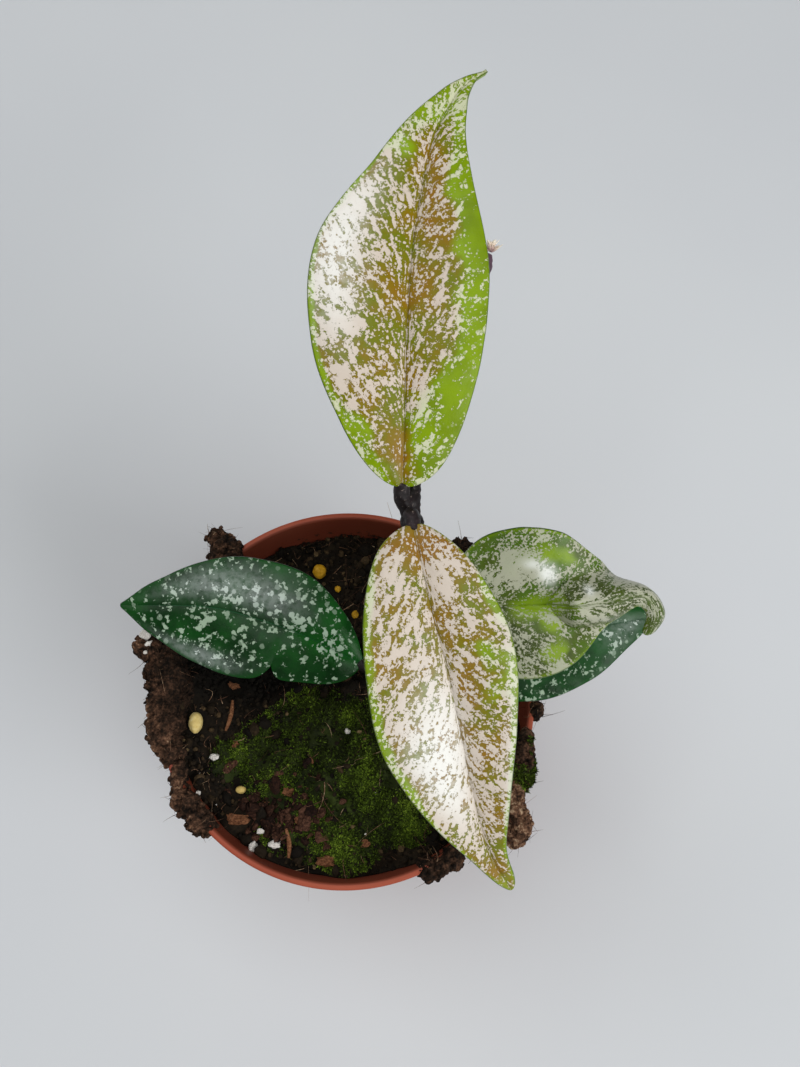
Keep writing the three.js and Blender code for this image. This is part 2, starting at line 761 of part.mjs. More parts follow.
// Everything that lies on the peat is cut by what is below it.
let below = unite([withRaisedCopy(wholeSoil), grownPotWall(), hole]);
for (const [name, patch] of Object.entries(mossPatches)) {
  const moss = largestBody(makeMoss(patch).subtract(below));
  below = unite([below, withRaisedCopy(moss)]);
  addPiece(name, geometryOf(moss), colours.moss, 0.95);
}

let clumpSeed = 11;
for (const [name, lumps] of Object.entries(clumps)) {
  const whole = unite(lumps.map(([centre, size]) => lump(centre, size, clumpSeed++, 2)));
  const clump = largestBody(whole.subtract(below));
  below = unite([below, withRaisedCopy(clump)]);
  addPiece(name, geometryOf(clump), colours.peat, 0.95);
}

const stem = makeStem();
addPiece("stem", geometryOf(stem), colours.stem, 0.6);
addPiece("growing_tip", geometryOf(makeGrowingTip()), colours.tip, 0.6);
for (const [name, leaf] of Object.entries(leaves)) {
  addPiece(name, makeBlade(leaf), leaf.colour, 0.35);
}

// The grains and needles are cut in one go, and each takes the largest body near its own place.
const loose = [];
let grainSeed = 71;
for (const [kind, places] of Object.entries(grains)) {
  const { colour, detail } = grainLooks[kind];
  for (const [index, [[x, y], size]] of places.entries()) {
    const centre = [x, y, groundTop(x, y) + 0.5 * size[2]];
    const whole = lump(centre, size, grainSeed++, detail, 0.07);
    loose.push({ name: `${kind}_${index + 1}`, colour, centre, whole });
  }
}
for (const [name, [from, to]] of Object.entries(needles)) {
  const centre = [(from[0] + to[0]) / 2, (from[1] + to[1]) / 2];
  loose.push({ name, colour: colours.bark, centre, whole: makeNeedle([from, to]) });
}
const cutLoose = unite(loose.map((piece) => piece.whole)).subtract(below).asOriginal().decompose();
for (const { name, colour, centre } of loose) {
  const holds = (body) => {
    const { min, max } = body.boundingBox();
    return [0, 1].every((axis) => min[axis] < centre[axis] && centre[axis] < max[axis]);
  };
  const own = cutLoose.filter(holds).reduce((best, body) => (body.volume() > best.volume() ? body : best));
  addPiece(name, geometryOf(own), colour, 0.8);
}

export default group;
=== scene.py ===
import math

import bmesh
import bpy
import numpy as np
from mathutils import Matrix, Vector


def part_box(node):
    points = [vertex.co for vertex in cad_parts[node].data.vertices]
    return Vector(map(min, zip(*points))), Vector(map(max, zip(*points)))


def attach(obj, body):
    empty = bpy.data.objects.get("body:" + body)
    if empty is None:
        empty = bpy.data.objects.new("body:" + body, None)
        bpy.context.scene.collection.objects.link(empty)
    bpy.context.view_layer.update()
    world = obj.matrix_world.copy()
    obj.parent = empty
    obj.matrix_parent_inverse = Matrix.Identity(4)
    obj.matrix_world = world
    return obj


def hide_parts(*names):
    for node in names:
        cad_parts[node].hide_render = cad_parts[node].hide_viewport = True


# A speckled hoya vine in a nursery pot of mossy peat. Shapes are worked out in millimetres.
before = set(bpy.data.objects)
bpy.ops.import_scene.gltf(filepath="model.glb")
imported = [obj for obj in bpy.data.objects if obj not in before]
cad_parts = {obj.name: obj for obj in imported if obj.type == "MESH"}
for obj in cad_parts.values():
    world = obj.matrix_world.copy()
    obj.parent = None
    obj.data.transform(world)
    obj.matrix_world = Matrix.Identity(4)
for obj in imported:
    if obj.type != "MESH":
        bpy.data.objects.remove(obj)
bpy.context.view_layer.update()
mm = 0.001
print("frame loaded")


# sRGB hex to linear light, channel by channel along the sRGB curve
def linearColour(hexText):
    channels = [int(hexText[i:i + 2], 16) / 255 for i in (1, 3, 5)]
    return tuple(c / 12.92 if c <= 0.04045 else ((c + 0.055) / 1.055) ** 2.4 for c in channels) + (1.0,)


# Puts an object with this mesh, lamp or camera in the scene
def newObject(name, data):
    item = bpy.data.objects.new(name, data)
    bpy.context.scene.collection.objects.link(item)
    return item


# Camera, at the photograph's angle
camera = {"place": (0.015, -0.04466, 0.38992), "tilt": 17.0, "lens": 36.0, "near": 0.01}
cameraData = bpy.data.cameras.new("photoCamera")
cameraData.lens = camera["lens"]
cameraData.clip_start = camera["near"]
cameraObject = newObject("photoCamera", cameraData)
cameraObject.location = camera["place"]
cameraObject.rotation_euler = (math.radians(camera["tilt"]), 0, 0)
bpy.context.scene.camera = cameraObject
bpy.context.scene.view_settings.view_transform = "Standard"

# Window light from the front right, a broad ceiling glow, and a weak fill from the back left: the place, the
# point that it faces, the side of its square, its power and its colour
lights = {
    "window": ((0.85, -0.6, 0.75), (0.01, 0.02, 0.12), 0.8, 10.5, "#FFFFFF"),
    "ceiling": ((-0.05, 0.05, 1.3), (0.01, 0.02, 0.1), 0.9, 6.0, "#FDFEFF"),
    "fill": ((-0.8, 0.5, 0.7), (0.02, 0, 0.13), 0.8, 3.0, "#FFFFFF"),
}
for name, (place, aim, size, power, tint) in lights.items():
    lamp = bpy.data.lights.new(name, "AREA")
    lamp.size = size
    lamp.energy = power
    lamp.color = linearColour(tint)[:3]
    lampObject = newObject(name, lamp)
    lampObject.location = place
    lampObject.rotation_euler = (Vector(aim) - Vector(place)).to_track_quat("-Z", "Y").to_euler()
room = {"colour": "#D6D8DA", "strength": 0.33}
world = bpy.data.worlds.new("room")
world.use_nodes = True
glow = world.node_tree.nodes["Background"].inputs
glow[0].default_value, glow[1].default_value = linearColour(room["colour"]), room["strength"]
bpy.context.scene.world = world
print("camera and lights made")


# Starts a material, and gives a function that adds a node and returns an output, the first in use unless it
# is named. A word after the node's kind picks what it works out. Plain values go to the sockets in use in
# order, those named with a capital to the socket of that name, and the others are the node's settings
def startMaterial(name):
    material = bpy.data.materials.new(name)
    material.use_nodes = True
    tree = material.node_tree
    tree.nodes.clear()

    def add(kind, *values, out=None, stops=(), **named):
        kind, *mode = kind.split()
        node = tree.nodes.new("ShaderNode" + kind)
        for word in mode:
            setattr(node, "data_type" if kind == "Mix" else "operation", word)
        for key in filter(str.islower, named):
            setattr(node, key, named[key])
        for index, (place, colour) in enumerate(stops):
            ramp = node.color_ramp.elements
            element = ramp[index] if index < 2 else ramp.new(place)
            element.position, element.color = place, linearColour(colour)
        feeds = list(zip([socket for socket in node.inputs if socket.enabled], values))
        feeds += [(node.inputs[key.replace("_", " ")], named[key]) for key in named if not key.islower()]
        for socket, value in feeds:
            if isinstance(value, bpy.types.NodeSocket):
                tree.links.new(value, socket)
            else:
                socket.default_value = linearColour(value) if isinstance(value, str) else value
        return node.outputs[out] if out else next((socket for socket in node.outputs if socket.enabled), None)

    return material, add


# Ends a material with its surface. The relief, if there is one, is its strength, its depth and what draws it
def endMaterial(material, add, colour, roughness, specular, *relief):
    bump = {"Normal": add("Bump", *relief[:2], Height=relief[2])} if relief else {}
    shader = add("BsdfPrincipled", colour, Roughness=roughness, Specular_IOR_Level=specular, **bump)
    add("OutputMaterial", shader)
    return material


# Cubic curve through evenly numbered values, for k from 0 to 1: each span leaves one value along the
# line that joins its neighbours (Catmull-Rom)
def smoothCurve(values, k):
    values = np.asarray(values, float)
    values = values.reshape(len(values), -1)
    padded = np.vstack([2 * values[0] - values[1], values, 2 * values[-1] - values[-2]])
    place = np.clip(k, 0, 1) * (len(values) - 1)
    i = np.minimum(place.astype(int), len(values) - 2)
    f = (place - i)[..., None]
    a, b, c, d = (padded[i + step] for step in range(4))
    return 0.5 * (2 * b + (c - a) * f + (2 * a - 5 * b + 4 * c - d) * f**2 + (3 * b - a - 3 * c + d) * f**3)


# Rises smoothly from 0 at low to 1 at high
def smoothStep(low, high, value):
    k = np.clip((value - low) / (high - low), 0, 1)
    return k * k * (3 - 2 * k)


# Each vector divided by its length
def unit(vectors):
    return vectors / np.maximum(np.linalg.norm(vectors, axis=-1, keepdims=True), 1e-9)


# Noise in space: random numbers at whole-number points, blended by smooth steps, in octaves that halve
# in size and strength. The result lies about -1 to 1
def roughNoise(points, size, octaves, seed):
    table = np.random.default_rng(seed).random((32, 32, 32)) * 2 - 1
    total = 0.0
    for octave in range(octaves):
        place = np.asarray(points) / size * 2**octave + 7.3 * octave
        base = np.floor(place).astype(int)
        f = place - base
        f = f * f * (3 - 2 * f)
        for corner in np.ndindex(2, 2, 2):
            weight = np.prod(np.where(np.array(corner, bool), f, 1 - f), axis=-1)
            cell = (base + np.array(corner)) % 32
            total = total + weight * table[cell[..., 0], cell[..., 1], cell[..., 2]] / 2**octave
    return total


# Quads of a grid of rows by columns, wrapped round in the second direction if asked
def gridFaces(rows, columns, wrap=False):
    i, j = np.meshgrid(np.arange(rows - 1), np.arange(columns if wrap else columns - 1), indexing="ij")
    a = i * columns + j
    b = i * columns + (j + 1) % columns
    return np.stack([a, b, b + columns, a + columns], -1).reshape(-1, 4)


# Fan of triangles from a point to a ring of neighbours
def fanFaces(centre, ring):
    return np.stack([np.full(len(ring), centre), ring, np.roll(ring, -1)], -1)


# The two fans that close stacked rings at their ends, each to one of the two points that come after them
def endFans(rings, size):
    ring, end = np.arange(size), rings * size
    return np.concatenate([fanFaces(end, ring[::-1]), fanFaces(end + 1, ring + end - size)])


# Mesh from points in millimetres and sets of faces, with values kept on its points
def meshFrom(name, points, faceSets, values=None, smooth=True):
    mesh = bpy.data.meshes.new(name)
    mesh.vertices.add(len(points))
    mesh.vertices.foreach_set("co", (points * mm).astype(np.float32).ravel())
    corners = np.concatenate([faces.ravel() for faces in faceSets])
    sizes = np.concatenate([np.full(len(faces), faces.shape[1]) for faces in faceSets])
    mesh.loops.add(len(corners))
    mesh.loops.foreach_set("vertex_index", corners.astype(np.int32))
    mesh.polygons.add(len(sizes))
    mesh.polygons.foreach_set("loop_start", (np.cumsum(sizes) - sizes).astype(np.int32))
    mesh.polygons.foreach_set("use_smooth", np.full(len(sizes), smooth))
    for key, array in (values or {}).items():
        vector = array.ndim == 2
        attribute = mesh.attributes.new(key, "FLOAT_VECTOR" if vector else "FLOAT", "POINT")
        attribute.data.foreach_set("vector" if vector else "value", array.astype(np.float32).ravel())
    mesh.update(calc_edges=True)
    return mesh


# Puts a mesh in the scene as a piece of the plant
def addPiece(mesh, material, slotName, replaced=()):
    piece = newObject(mesh.name, mesh)
    mesh.materials.append(material)
    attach(piece, "root")
    if replaced:
        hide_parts(*replaced)
    print(f"{piece.name}: {len(mesh.polygons)} faces")
    return piece


# Corners and triangles of a round ball of radius 1
def unitBall(level):
    ball = bmesh.new()
    bmesh.ops.create_icosphere(ball, subdivisions=level, radius=1.0)
    points = np.array([vertex.co for vertex in ball.verts])
    faces = np.array([[vertex.index for vertex in face.verts] for face in ball.faces])
    ball.free()
    return points, faces


# Random turns, as matrices: from four normal numbers each, read as a quaternion
def randomTurns(draw, count):
    w, x, y, z = unit(draw.normal(size=(count, 4))).T
    rows = [
        [1 - 2 * (y * y + z * z), 2 * (x * y - z * w), 2 * (x * z + y * w)],
        [2 * (x * y + z * w), 1 - 2 * (x * x + z * z), 2 * (y * z - x * w)],
        [2 * (x * z - y * w), 2 * (y * z + x * w), 1 - 2 * (x * x + y * y)],
    ]
    return np.moveaxis(np.array(rows), -1, 0)


# Copies of one shape: stretched by three sizes, dented by noise, turned and moved, in one set of points
def manyOf(shape, places, sizes, turns, dents, seed):
    points, faces = shape
    copies = points[None] * sizes[:, None, :]
    swell = roughNoise(points[None] * 1.3 + places[:, None, :] * 5.7, 1.0, 1, seed)
    copies = copies * (1 + dents * swell[..., None])
    if turns is not None:
        copies = np.einsum("nij,npj->npi", turns, copies)
    copies = copies + places[:, None, :]
    shift = np.arange(len(places))[:, None, None] * len(points)
    return copies.reshape(-1, 3), (faces[None] + shift).reshape(-1, faces.shape[1])


# Dented balls, each with its own radius, stretched between two shares of it and turned at random
def dentedBalls(draw, level, places, radius, stretch, dents, seed):
    sizes = radius[:, None] * draw.uniform(*stretch, (len(radius), 3))
    return manyOf(unitBall(level), places, sizes, randomTurns(draw, len(radius)), dents, seed)


# Tubes along many paths at once: rings square to each path, both ends drawn to a point
def tubesAlong(paths, radii, sides):
    count, steps = radii.shape
    along = unit(np.gradient(paths, axis=1))
    reference = np.eye(3)[np.argmin(np.abs(along.mean(1)), axis=-1)][:, None]
    side = unit(np.cross(along, reference))
    other = np.cross(along, side)
    angle = 2 * np.pi * np.arange(sides) / sides
    ring = np.cos(angle)[:, None] * side[:, :, None] + np.sin(angle)[:, None] * other[:, :, None]
    rings = paths[:, :, None] + radii[..., None, None] * ring
    points = np.concatenate([rings.reshape(count, -1, 3), paths[:, :1], paths[:, -1:]], axis=1)
    quads, fans = gridFaces(steps, sides, wrap=True), endFans(steps, sides)
    shift = np.arange(count)[:, None, None] * points.shape[1]
    return points.reshape(-1, 3), (quads[None] + shift).reshape(-1, 4), (fans[None] + shift).reshape(-1, 3)


# Joins sets of (points, quads, triangles) into one set
def joined(parts):
    points, quads, triangles, start = [], [], [], 0
    for partPoints, *faceSets in parts:
        points.append(partPoints)
        for faces in faceSets:
            (quads if faces.shape[1] == 4 else triangles).append(faces + start)
        start += len(partPoints)
    return np.concatenate(points), [np.concatenate(faces) for faces in (quads, triangles) if faces]


# Fuses overlapping closed shapes into one skin through a voxel grid, and gives points, faces and normals
def fused(points, faceSets, voxel):
    loose = newObject("loose", meshFrom("loose", points, faceSets))
    remesh = loose.modifiers.new("remesh", "REMESH")
    remesh.mode = "VOXEL"
    remesh.voxel_size = voxel * mm
    whole = loose.evaluated_get(bpy.context.evaluated_depsgraph_get()).to_mesh()
    whole.calc_loop_triangles()
    skin = np.zeros(len(whole.vertices) * 3, np.float32)
    whole.vertices.foreach_get("co", skin)
    normals = np.zeros_like(skin)
    whole.vertex_normals.foreach_get("vector", normals)
    faces = np.zeros(len(whole.loop_triangles) * 3, np.int32)
    whole.loop_triangles.foreach_get("vertices", faces)
    looseMesh = loose.data
    bpy.data.objects.remove(loose)
    bpy.data.meshes.remove(looseMesh)
    return skin.reshape(-1, 3) / mm, faces.reshape(-1, 3), normals.reshape(-1, 3)


# Disc closed into a solid: rings out from a pole to an edge, then down to a lower ring and its pole
def discSolid(centre, edge, top, bottom, rings, segments, lowShare=1.0):
    angle = 2 * np.pi * np.arange(segments) / segments
    fraction = np.arange(1, rings + 1)[:, None] / rings
    x = centre[0] + fraction * edge(angle) * np.cos(angle)
    y = centre[1] + fraction * edge(angle) * np.sin(angle)
    upper = np.stack([x, y, top(x, y)], -1)
    lowX, lowY = (centre[k] + (upper[-1, :, k] - centre[k]) * lowShare for k in range(2))
    lower = np.stack([lowX, lowY, bottom(lowX, lowY)], -1)
    poles = np.array([[centre[0], centre[1], height(*map(np.array, centre))] for height in (top, bottom)])
    points = np.concatenate([upper.reshape(-1, 3), lower, poles])
    quads = gridFaces(rings + 1, segments, wrap=True)[:, [0, 3, 2, 1]]
    first = np.arange(segments)
    fans = np.concatenate([
        fanFaces(len(points) - 2, first),
        fanFaces(len(points) - 1, rings * segments + first[::-1]),
    ])
    return points, quads, fans


# Pale floor under the pot: painted board, even, with the faintest mottle
floor = {"size": 3000.0, "drop": 0.05, "colours": ("#CDD0D3", "#D1D4D6")}
boardMaterial, add = startMaterial("painted_board")
cloud = add("TexNoise", add("TexCoord", out="Object"), 6, 2)
tone = add("ValToRGB", cloud, stops=zip((0.3, 0.7), floor["colours"]))
endMaterial(boardMaterial, add, tone, 0.85, 0.2)
corners = np.array([[-1, -1, 0], [1, -1, 0], [1, 1, 0], [-1, 1, 0]]) * floor["size"] / 2
floorMesh = meshFrom("floor", corners - [0, 0, floor["drop"]], [np.array([[0, 1, 2, 3]])])
floorMesh.materials.append(boardMaterial)
floorObject = newObject("floor", floorMesh)
print("floor made")


# Pot: a profile of (radius, height) with rounded corners, turned round the axis
pot = {
    "height": 93.0, "rimRadius": 52.5, "lipWidth": 1.8, "baseRadius": 37.0, "wall": 1.3, "floor": 1.8,
    "collar": 9.0, "segments": 240, "holes": 8, "holeRadius": 4.0, "holeCircle": 24.0,
}


# Inner radius at a height: runs straight from the floor's to the rim's
def potInnerRadius(z):
    floorRadius = pot["baseRadius"] - pot["wall"]
    rimRadius = pot["rimRadius"] - pot["lipWidth"]
    return floorRadius + (rimRadius - floorRadius) * (z - pot["floor"]) / (pot["height"] - pot["floor"])


# Rounds each corner of a profile: a short quadratic arc from a little before it to a little after it
def roundedProfile(corners, reach, steps=5):
    corners = np.array(corners, float)
    before, at, after = corners[:-2], corners[1:-1], corners[2:]
    back, ahead = before - at, after - at
    backLength = np.linalg.norm(back, axis=1, keepdims=True)
    aheadLength = np.linalg.norm(ahead, axis=1, keepdims=True)
    start = at + back * np.minimum(reach / backLength, 0.45)
    end = at + ahead * np.minimum(reach / aheadLength, 0.45)
    k = np.linspace(0, 1, steps)[:, None, None]
    arcs = (1 - k) ** 2 * start + 2 * k * (1 - k) * at + k**2 * end
    return np.vstack([corners[:1], arcs.transpose(1, 0, 2).reshape(-1, 2), corners[-1:]])


# Radii and heights of the profile, from the middle of the underside out, up, over the rim and down inside
def makePot():
    top, foot = pot["height"], pot["height"] - pot["collar"]
    base, rim, wall, inside = (pot[key] for key in ("baseRadius", "rimRadius", "wall", "floor"))
    corners = [
        (0.6, 0), (base - 2.2, 0), (base - 1.6, 0.5), (base, 1.6), (potInnerRadius(16) + wall - 0.25, 16),
        (potInnerRadius(16.6) + wall, 16.8), (potInnerRadius(foot - 1.2) + wall, foot - 1.2),
        (rim - 1.4, foot - 0.4), (rim - 1.15, foot + 0.6), (rim - 0.45, top - 2.6), (rim, top - 1.9),
        (rim, top - 0.1), (rim - pot["lipWidth"], top - 0.1), (potInnerRadius(top - 2.2) - 0.05, top - 2.2),
        (potInnerRadius(inside), inside), (0.6, inside),
    ]
    profile = roundedProfile(corners, 0.7)
    angle = 2 * np.pi * np.arange(pot["segments"]) / pot["segments"]
    r, z = profile[:, :1], profile[:, 1:]
    points = np.stack([r * np.cos(angle), r * np.sin(angle), np.broadcast_to(z, (len(r), len(angle)))], -1)
    quads = gridFaces(len(profile), pot["segments"], wrap=True)
    points = np.vstack([points.reshape(-1, 3), [[0, 0, 0], [0, 0, inside]]])
    return points, quads, endFans(len(profile), pot["segments"])


# Cuts the drain holes out of the pot's floor with a ring of closed cylinders
def withDrainHoles(points, faceSets):
    turn = 2 * np.pi * (np.arange(pot["holes"]) + 0.5) / pot["holes"]
    middle = pot["holeCircle"] * np.stack([np.cos(turn), np.sin(turn), 0 * turn], -1)
    rise = np.linspace(-pot["floor"], 2 * pot["floor"], 4)
    paths = middle[:, None] + rise[None, :, None] * np.array([0, 0, 1])
    cutter = tubesAlong(paths, np.full(paths.shape[:2], pot["holeRadius"]), 32)
    whole = newObject("wholePot", meshFrom("wholePot", points, faceSets))
    holes = newObject("holes", meshFrom("holes", cutter[0], cutter[1:]))
    cut = whole.modifiers.new("cut", "BOOLEAN")
    cut.operation = "DIFFERENCE"
    cut.object = holes
    mesh = bpy.data.meshes.new_from_object(whole.evaluated_get(bpy.context.evaluated_depsgraph_get()))
    mesh.name = "nurseryPot"
    for item in (whole, holes):
        bpy.data.objects.remove(item)
    return mesh


# Injection-moulded polypropylene: satin and a little waxy, with faint turning lines, its inner wall darkened
# as painted shade, and peat dust inside
plasticMaterial, add = startMaterial("moulded_polypropylene")
place = add("TexCoord", out="Object")
cloud = add("TexNoise", place, 1 / (22 * mm), 4, 0.6)
tone = add("ValToRGB", cloud, stops=[(0.3, "#94432E"), (0.5, "#9A4932"), (0.72, "#A25039")])
fromAxis = add("VectorMath LENGTH", add("VectorMath MULTIPLY", place, (1, 1, 0)))
height = add("SeparateXYZ", place, out="Z")
ends = pot["floor"], pot["height"]
innerWall = add("MapRange", height, *(end * mm for end in ends), *(potInnerRadius(end) * mm for end in ends))
inside = add("MapRange", add("Math SUBTRACT", fromAxis, innerWall), 0.7 * mm, 0.3 * mm)
inside = add("Math MULTIPLY", inside, add("Math GREATER_THAN", height, 60 * mm))
nearPeat = add("MapRange", height, 93 * mm, 80 * mm, 0.8, 0.5)
dust = add("Math GREATER_THAN", add("TexNoise", place, 1 / (2.2 * mm), 7, 0.7), nearPeat)
# Painted shade: the inner wall above 60 mm is darkened halfway to near black. The specks mixed in next are
# peat dust
tone = add("Mix RGBA", add("Math MULTIPLY", inside, 0.5), tone, "#2E150E")
tone = add("Mix RGBA", add("Math MULTIPLY", dust, inside), tone, "#2A1A12")
shine = add("MapRange", cloud, 0.3, 0.7, 0.46, 0.58)
turningLines = add("TexWave", place, 0.16 / (1.1 * mm), 0.4, bands_direction="Z", out="Fac")
relief = add("Math ADD", turningLines, add("TexNoise", place, 1 / (0.5 * mm), 3))
endMaterial(plasticMaterial, add, tone, shine, 0.22, 0.12, 0.05 * mm, relief)
addPiece(withDrainHoles(*joined([makePot()])), plasticMaterial, "pot_plastic", ["pot"])


# Leaves. Each has its midrib, the way its upper face looks, half widths and slopes from base to tip, as in
# the solids, and its marks in hundredths: how much silver, fresh green, painted sheen and highlight, and
# warmth it carries (on the curled leaf the warmth also holds painted shade), and then patches of more or less
# of it, as (share of length, share of width, reach along, reach across, amount)
blade = {"middle": 1.7, "margin": 0.9, "groove": 0.28, "rib": 0.8, "rows": 190, "columns": 44, "round": 0.5}
leaves = {
    "upperLeaf": {
        "node": "leaf_upper", "slot": "pale_leaf", "material": "pale", "seed": 3, "up": (0.05, -0.3, 0.95),
        "midrib": [(15.5, 36.5, 161), (16, 50, 168), (16.5, 68, 175.5), (18, 87.5, 181.5), (21.8, 108, 185.3),
            (26.4, 119.7, 186), (30.5, 125.6, 185.9), (35, 129.5, 185.5)],
        "left": [0, 7.5, 15, 21.5, 22, 11.9, 4.7, 1.2, 0], "right": [0, 8, 13.5, 17.5, 17.5, 11.1, 5, 0.8, 0],
        "foldLeft": [22, 20, 22, 30], "edgeLeft": [0, -6, -6, 5], "foldRight": [22, 24, 28, 35],
        "edgeRight": [-8, -8, 0, 10],
        "silver": [45, (50, -80, 17, 28, 32), (25, -60, 10, 30, 14), (45, 100, 30, 34, -22),
            (20, 70, 10, 25, -40), (19, 30, 4, 12, 45), (90, 0, 10, 80, 16), (66, -35, 5, 20, -25),
            (42, -30, 6, 15, -20), (7, -35, 10, 60, -32), (50, -100, 60, 5, -30), (60, 30, 30, 30, -7),
            (60, 95, 9, 28, -30)],
        "green": [10, (35, 100, 40, 30, 100), (12, 60, 14, 40, 100), (35, -100, 60, 7, 90),
            (97, 0, 12, 100, 80), (72, 100, 20, 40, 90), (10, -90, 10, 35, 80), (78, -80, 10, 40, 50),
            (86, -20, 10, 60, 25)],
        "white": [0, (52, -80, 14, 26, 80), (40, -70, 10, 20, 30)],
        "warmth": [45, (45, 20, 40, 20, 25), (4, -10, 6, 25, 40), (70, -20, 8, 30, 25)],
    },
    "lowerLeaf": {
        "node": "leaf_lower", "slot": "pale_leaf", "material": "pale", "seed": 8, "up": (0, -0.3, 0.95),
        "midrib": [(18, 27, 162), (19.5, 19, 162), (22, 8, 159.5), (25.5, -4, 153.5), (28.5, -16.5, 145.5),
            (31.5, -29, 136.5), (36, -42.5, 126), (42, -51.5, 117)],
        "left": [0, 6, 12.5, 16, 13.5, 9, 4.5, 2.5, 0], "right": [0, 8, 14, 18.5, 19, 12.5, 5, 2, 0],
        "foldLeft": [20, 25, 25, 30], "edgeLeft": [-15, -5, 0, 5], "foldRight": [20, 28, 30, 35],
        "edgeRight": [-15, 0, 5, 10],
        "silver": [50, (3, 0, 6, 80, -15), (60, 30, 22, 38, 28), (36, 30, 12, 35, 6), (36, -60, 8, 25, -12),
            (78, -50, 15, 40, 8), (12, 50, 5, 20, 30), (14, -30, 5, 20, 30), (98, 0, 9, 120, -38),
            (88, 0, 7, 90, -20), (40, 100, 35, 8, -25)],
        "green": [3, (50, 100, 35, 15, 90), (34, -65, 9, 25, 60), (62, -100, 35, 13, 90),
            (20, -95, 6, 12, 60), (97, 0, 8, 100, 35), (12, 95, 10, 15, 50)],
        "white": [5, (50, 25, 13, 28, 80), (64, 42, 10, 30, 60), (54, 60, 10, 22, 45), (55, -95, 25, 12, 30)],
        "warmth": [62, (4, 0, 6, 100, 40), (60, -30, 40, 30, 15)],
    },
    "curledLeaf": {
        "node": "leaf_curled", "slot": "green_leaf", "material": "green", "seed": 5, "thinning": 0.4,
        "up": (0, -0.3, 0.95),
        "midrib": [(26, 15, 134), (35, 15, 135.5), (43.5, 14.5, 137), (51.5, 14.5, 138.2), (59, 15.3, 138.8),
            (66.5, 16.2, 139), (72.6, 15.2, 138), (76.3, 11.5, 134.5), (75.3, 7.5, 130)],
        "guide": [(24.5, 15, 134), (44, 14.5, 138), (63, 15, 141), (74.5, 13, 139), (77, 4, 134)],
        "left": [0, 4.5, 11, 16, 19, 20.2, 18, 9.2, 6.5, 5, 3.5, 2.5, 0],
        "right": [0, 4.5, 10, 15, 17.5, 17.8, 15, 8.8, 3.3, 2.4, 2.2, 1.8, 0],
        "foldLeft": [15, 15, 15, 18, 20, 20, 10, -5, -10, -10, -10],
        "edgeLeft": [10, 10, 15, 20, 20, 15, 0, -80, -100, -80, -60],
        "foldRight": [20, 20, 20, 20, 20, 20, 10, 0, -5, -5, -5],
        "edgeRight": [0, 0, 0, 5, 10, 10, 10, 5, -40, -60, -60],
        "nose": {"start": 0.42, "rise": 0.1, "widen": 0.12, "middle": -0.3, "back": 6, "front": 6.6,
            "roundBack": 2, "roundFront": 3.2, "height": 7, "sink": 0.3, "lean": (0, -0.4),
            "upright": (0.62, 0.85)},
        "silver": [46, (48, -68, 8, 16, -50), (30, 25, 8, 12, -30), (36, -2, 8, 12, -45),
            (30, -35, 10, 20, 38), (42, -42, 5, 12, 30), (74, 0, 20, 100, 8), (50, 55, 10, 30, -16),
            (56, -35, 5, 30, 15), (42, 33, 3.5, 10, -35), (45, 70, 5, 12, -35), (25, 50, 6, 20, 15),
            (30, 85, 10, 12, 20)],
        "green": [24, (40, 0, 12, 20, 70), (75, 0, 25, 100, -40), (42, 33, 4, 12, 50), (45, 70, 6, 14, 50),
            (48, -68, 8, 16, 50)],
        "white": [2, (43.5, -42, 3, 13, 110), (38, -55, 4, 6, 50), (57, -20, 1.5, 6, 80)],
        # The warmth patch at 27% of the length, on the lower half, darkens the ground: painted shade from the
        # lowerLeaf above
        "warmth": [45, (27, 50, 12, 45, 60), (75, 0, 25, 100, 20)],
    },
    "darkLeafLeft": {
        "node": "leaf_dark_left", "slot": "dark_leaf", "material": "dark", "seed": 13, "veinPull": 0.8,
        "up": (0, -0.25, 0.95),
        "midrib": [(4.5, 6, 104.5), (-9.5, 12, 110.5), (-23, 16.5, 112.5), (-37, 20, 111.5),
            (-61.5, 22, 105)],
        "left": [0, 7, 11.5, 14.5, 17, 15, 8.5, 2.5, 0], "right": [0, 4, 10, 15.5, 15.5, 11.5, 6.5, 2, 0],
        "foldLeft": [15, 12, 10, 20], "edgeLeft": [-20, -15, -15, -5], "foldRight": [15, 12, 10, 20],
        "edgeRight": [-20, -15, -15, -5],
        "notch": {"at": 0.325, "depth": 4.4, "width": 0.026},
        "silver": [22, (50, 10, 30, 25, 10), (25, 10, 12, 50, 10), (60, 80, 30, 25, -10),
            (50, -75, 20, 20, -12)],
        "green": [30, (15, 30, 15, 60, 40)],
        "white": [0, (60, 50, 20, 28, 100), (40, 35, 10, 20, 60), (64, -82, 16, 14, 100)],
        "warmth": [50],
    },
    "darkLeafRight": {
        "node": "leaf_dark_right", "slot": "dark_leaf", "material": "dark", "seed": 17, "veinPull": 0.8,
        "up": (0, -0.25, 0.95),
        "midrib": [(18, 6.5, 104.5), (33, 7.5, 108), (50, 11.5, 110), (68.5, 15, 110), (84, 18.5, 107)],
        "left": [0, 5, 9.5, 14, 16, 13, 7, 2.5, 0], "right": [0, 5.5, 9.5, 14, 16.5, 13.5, 7, 2.5, 0],
        "foldLeft": [15, 12, 10, 20], "edgeLeft": [-10, -10, -10, -5], "foldRight": [15, 12, 10, 20],
        "edgeRight": [-10, -10, -10, -5],
        "silver": [20, (60, 30, 30, 50, 6)],
        "green": [30, (85, 0, 20, 100, 40)],
        "white": [0, (86, 25, 10, 40, 80)],
        "warmth": [50],
    },
}
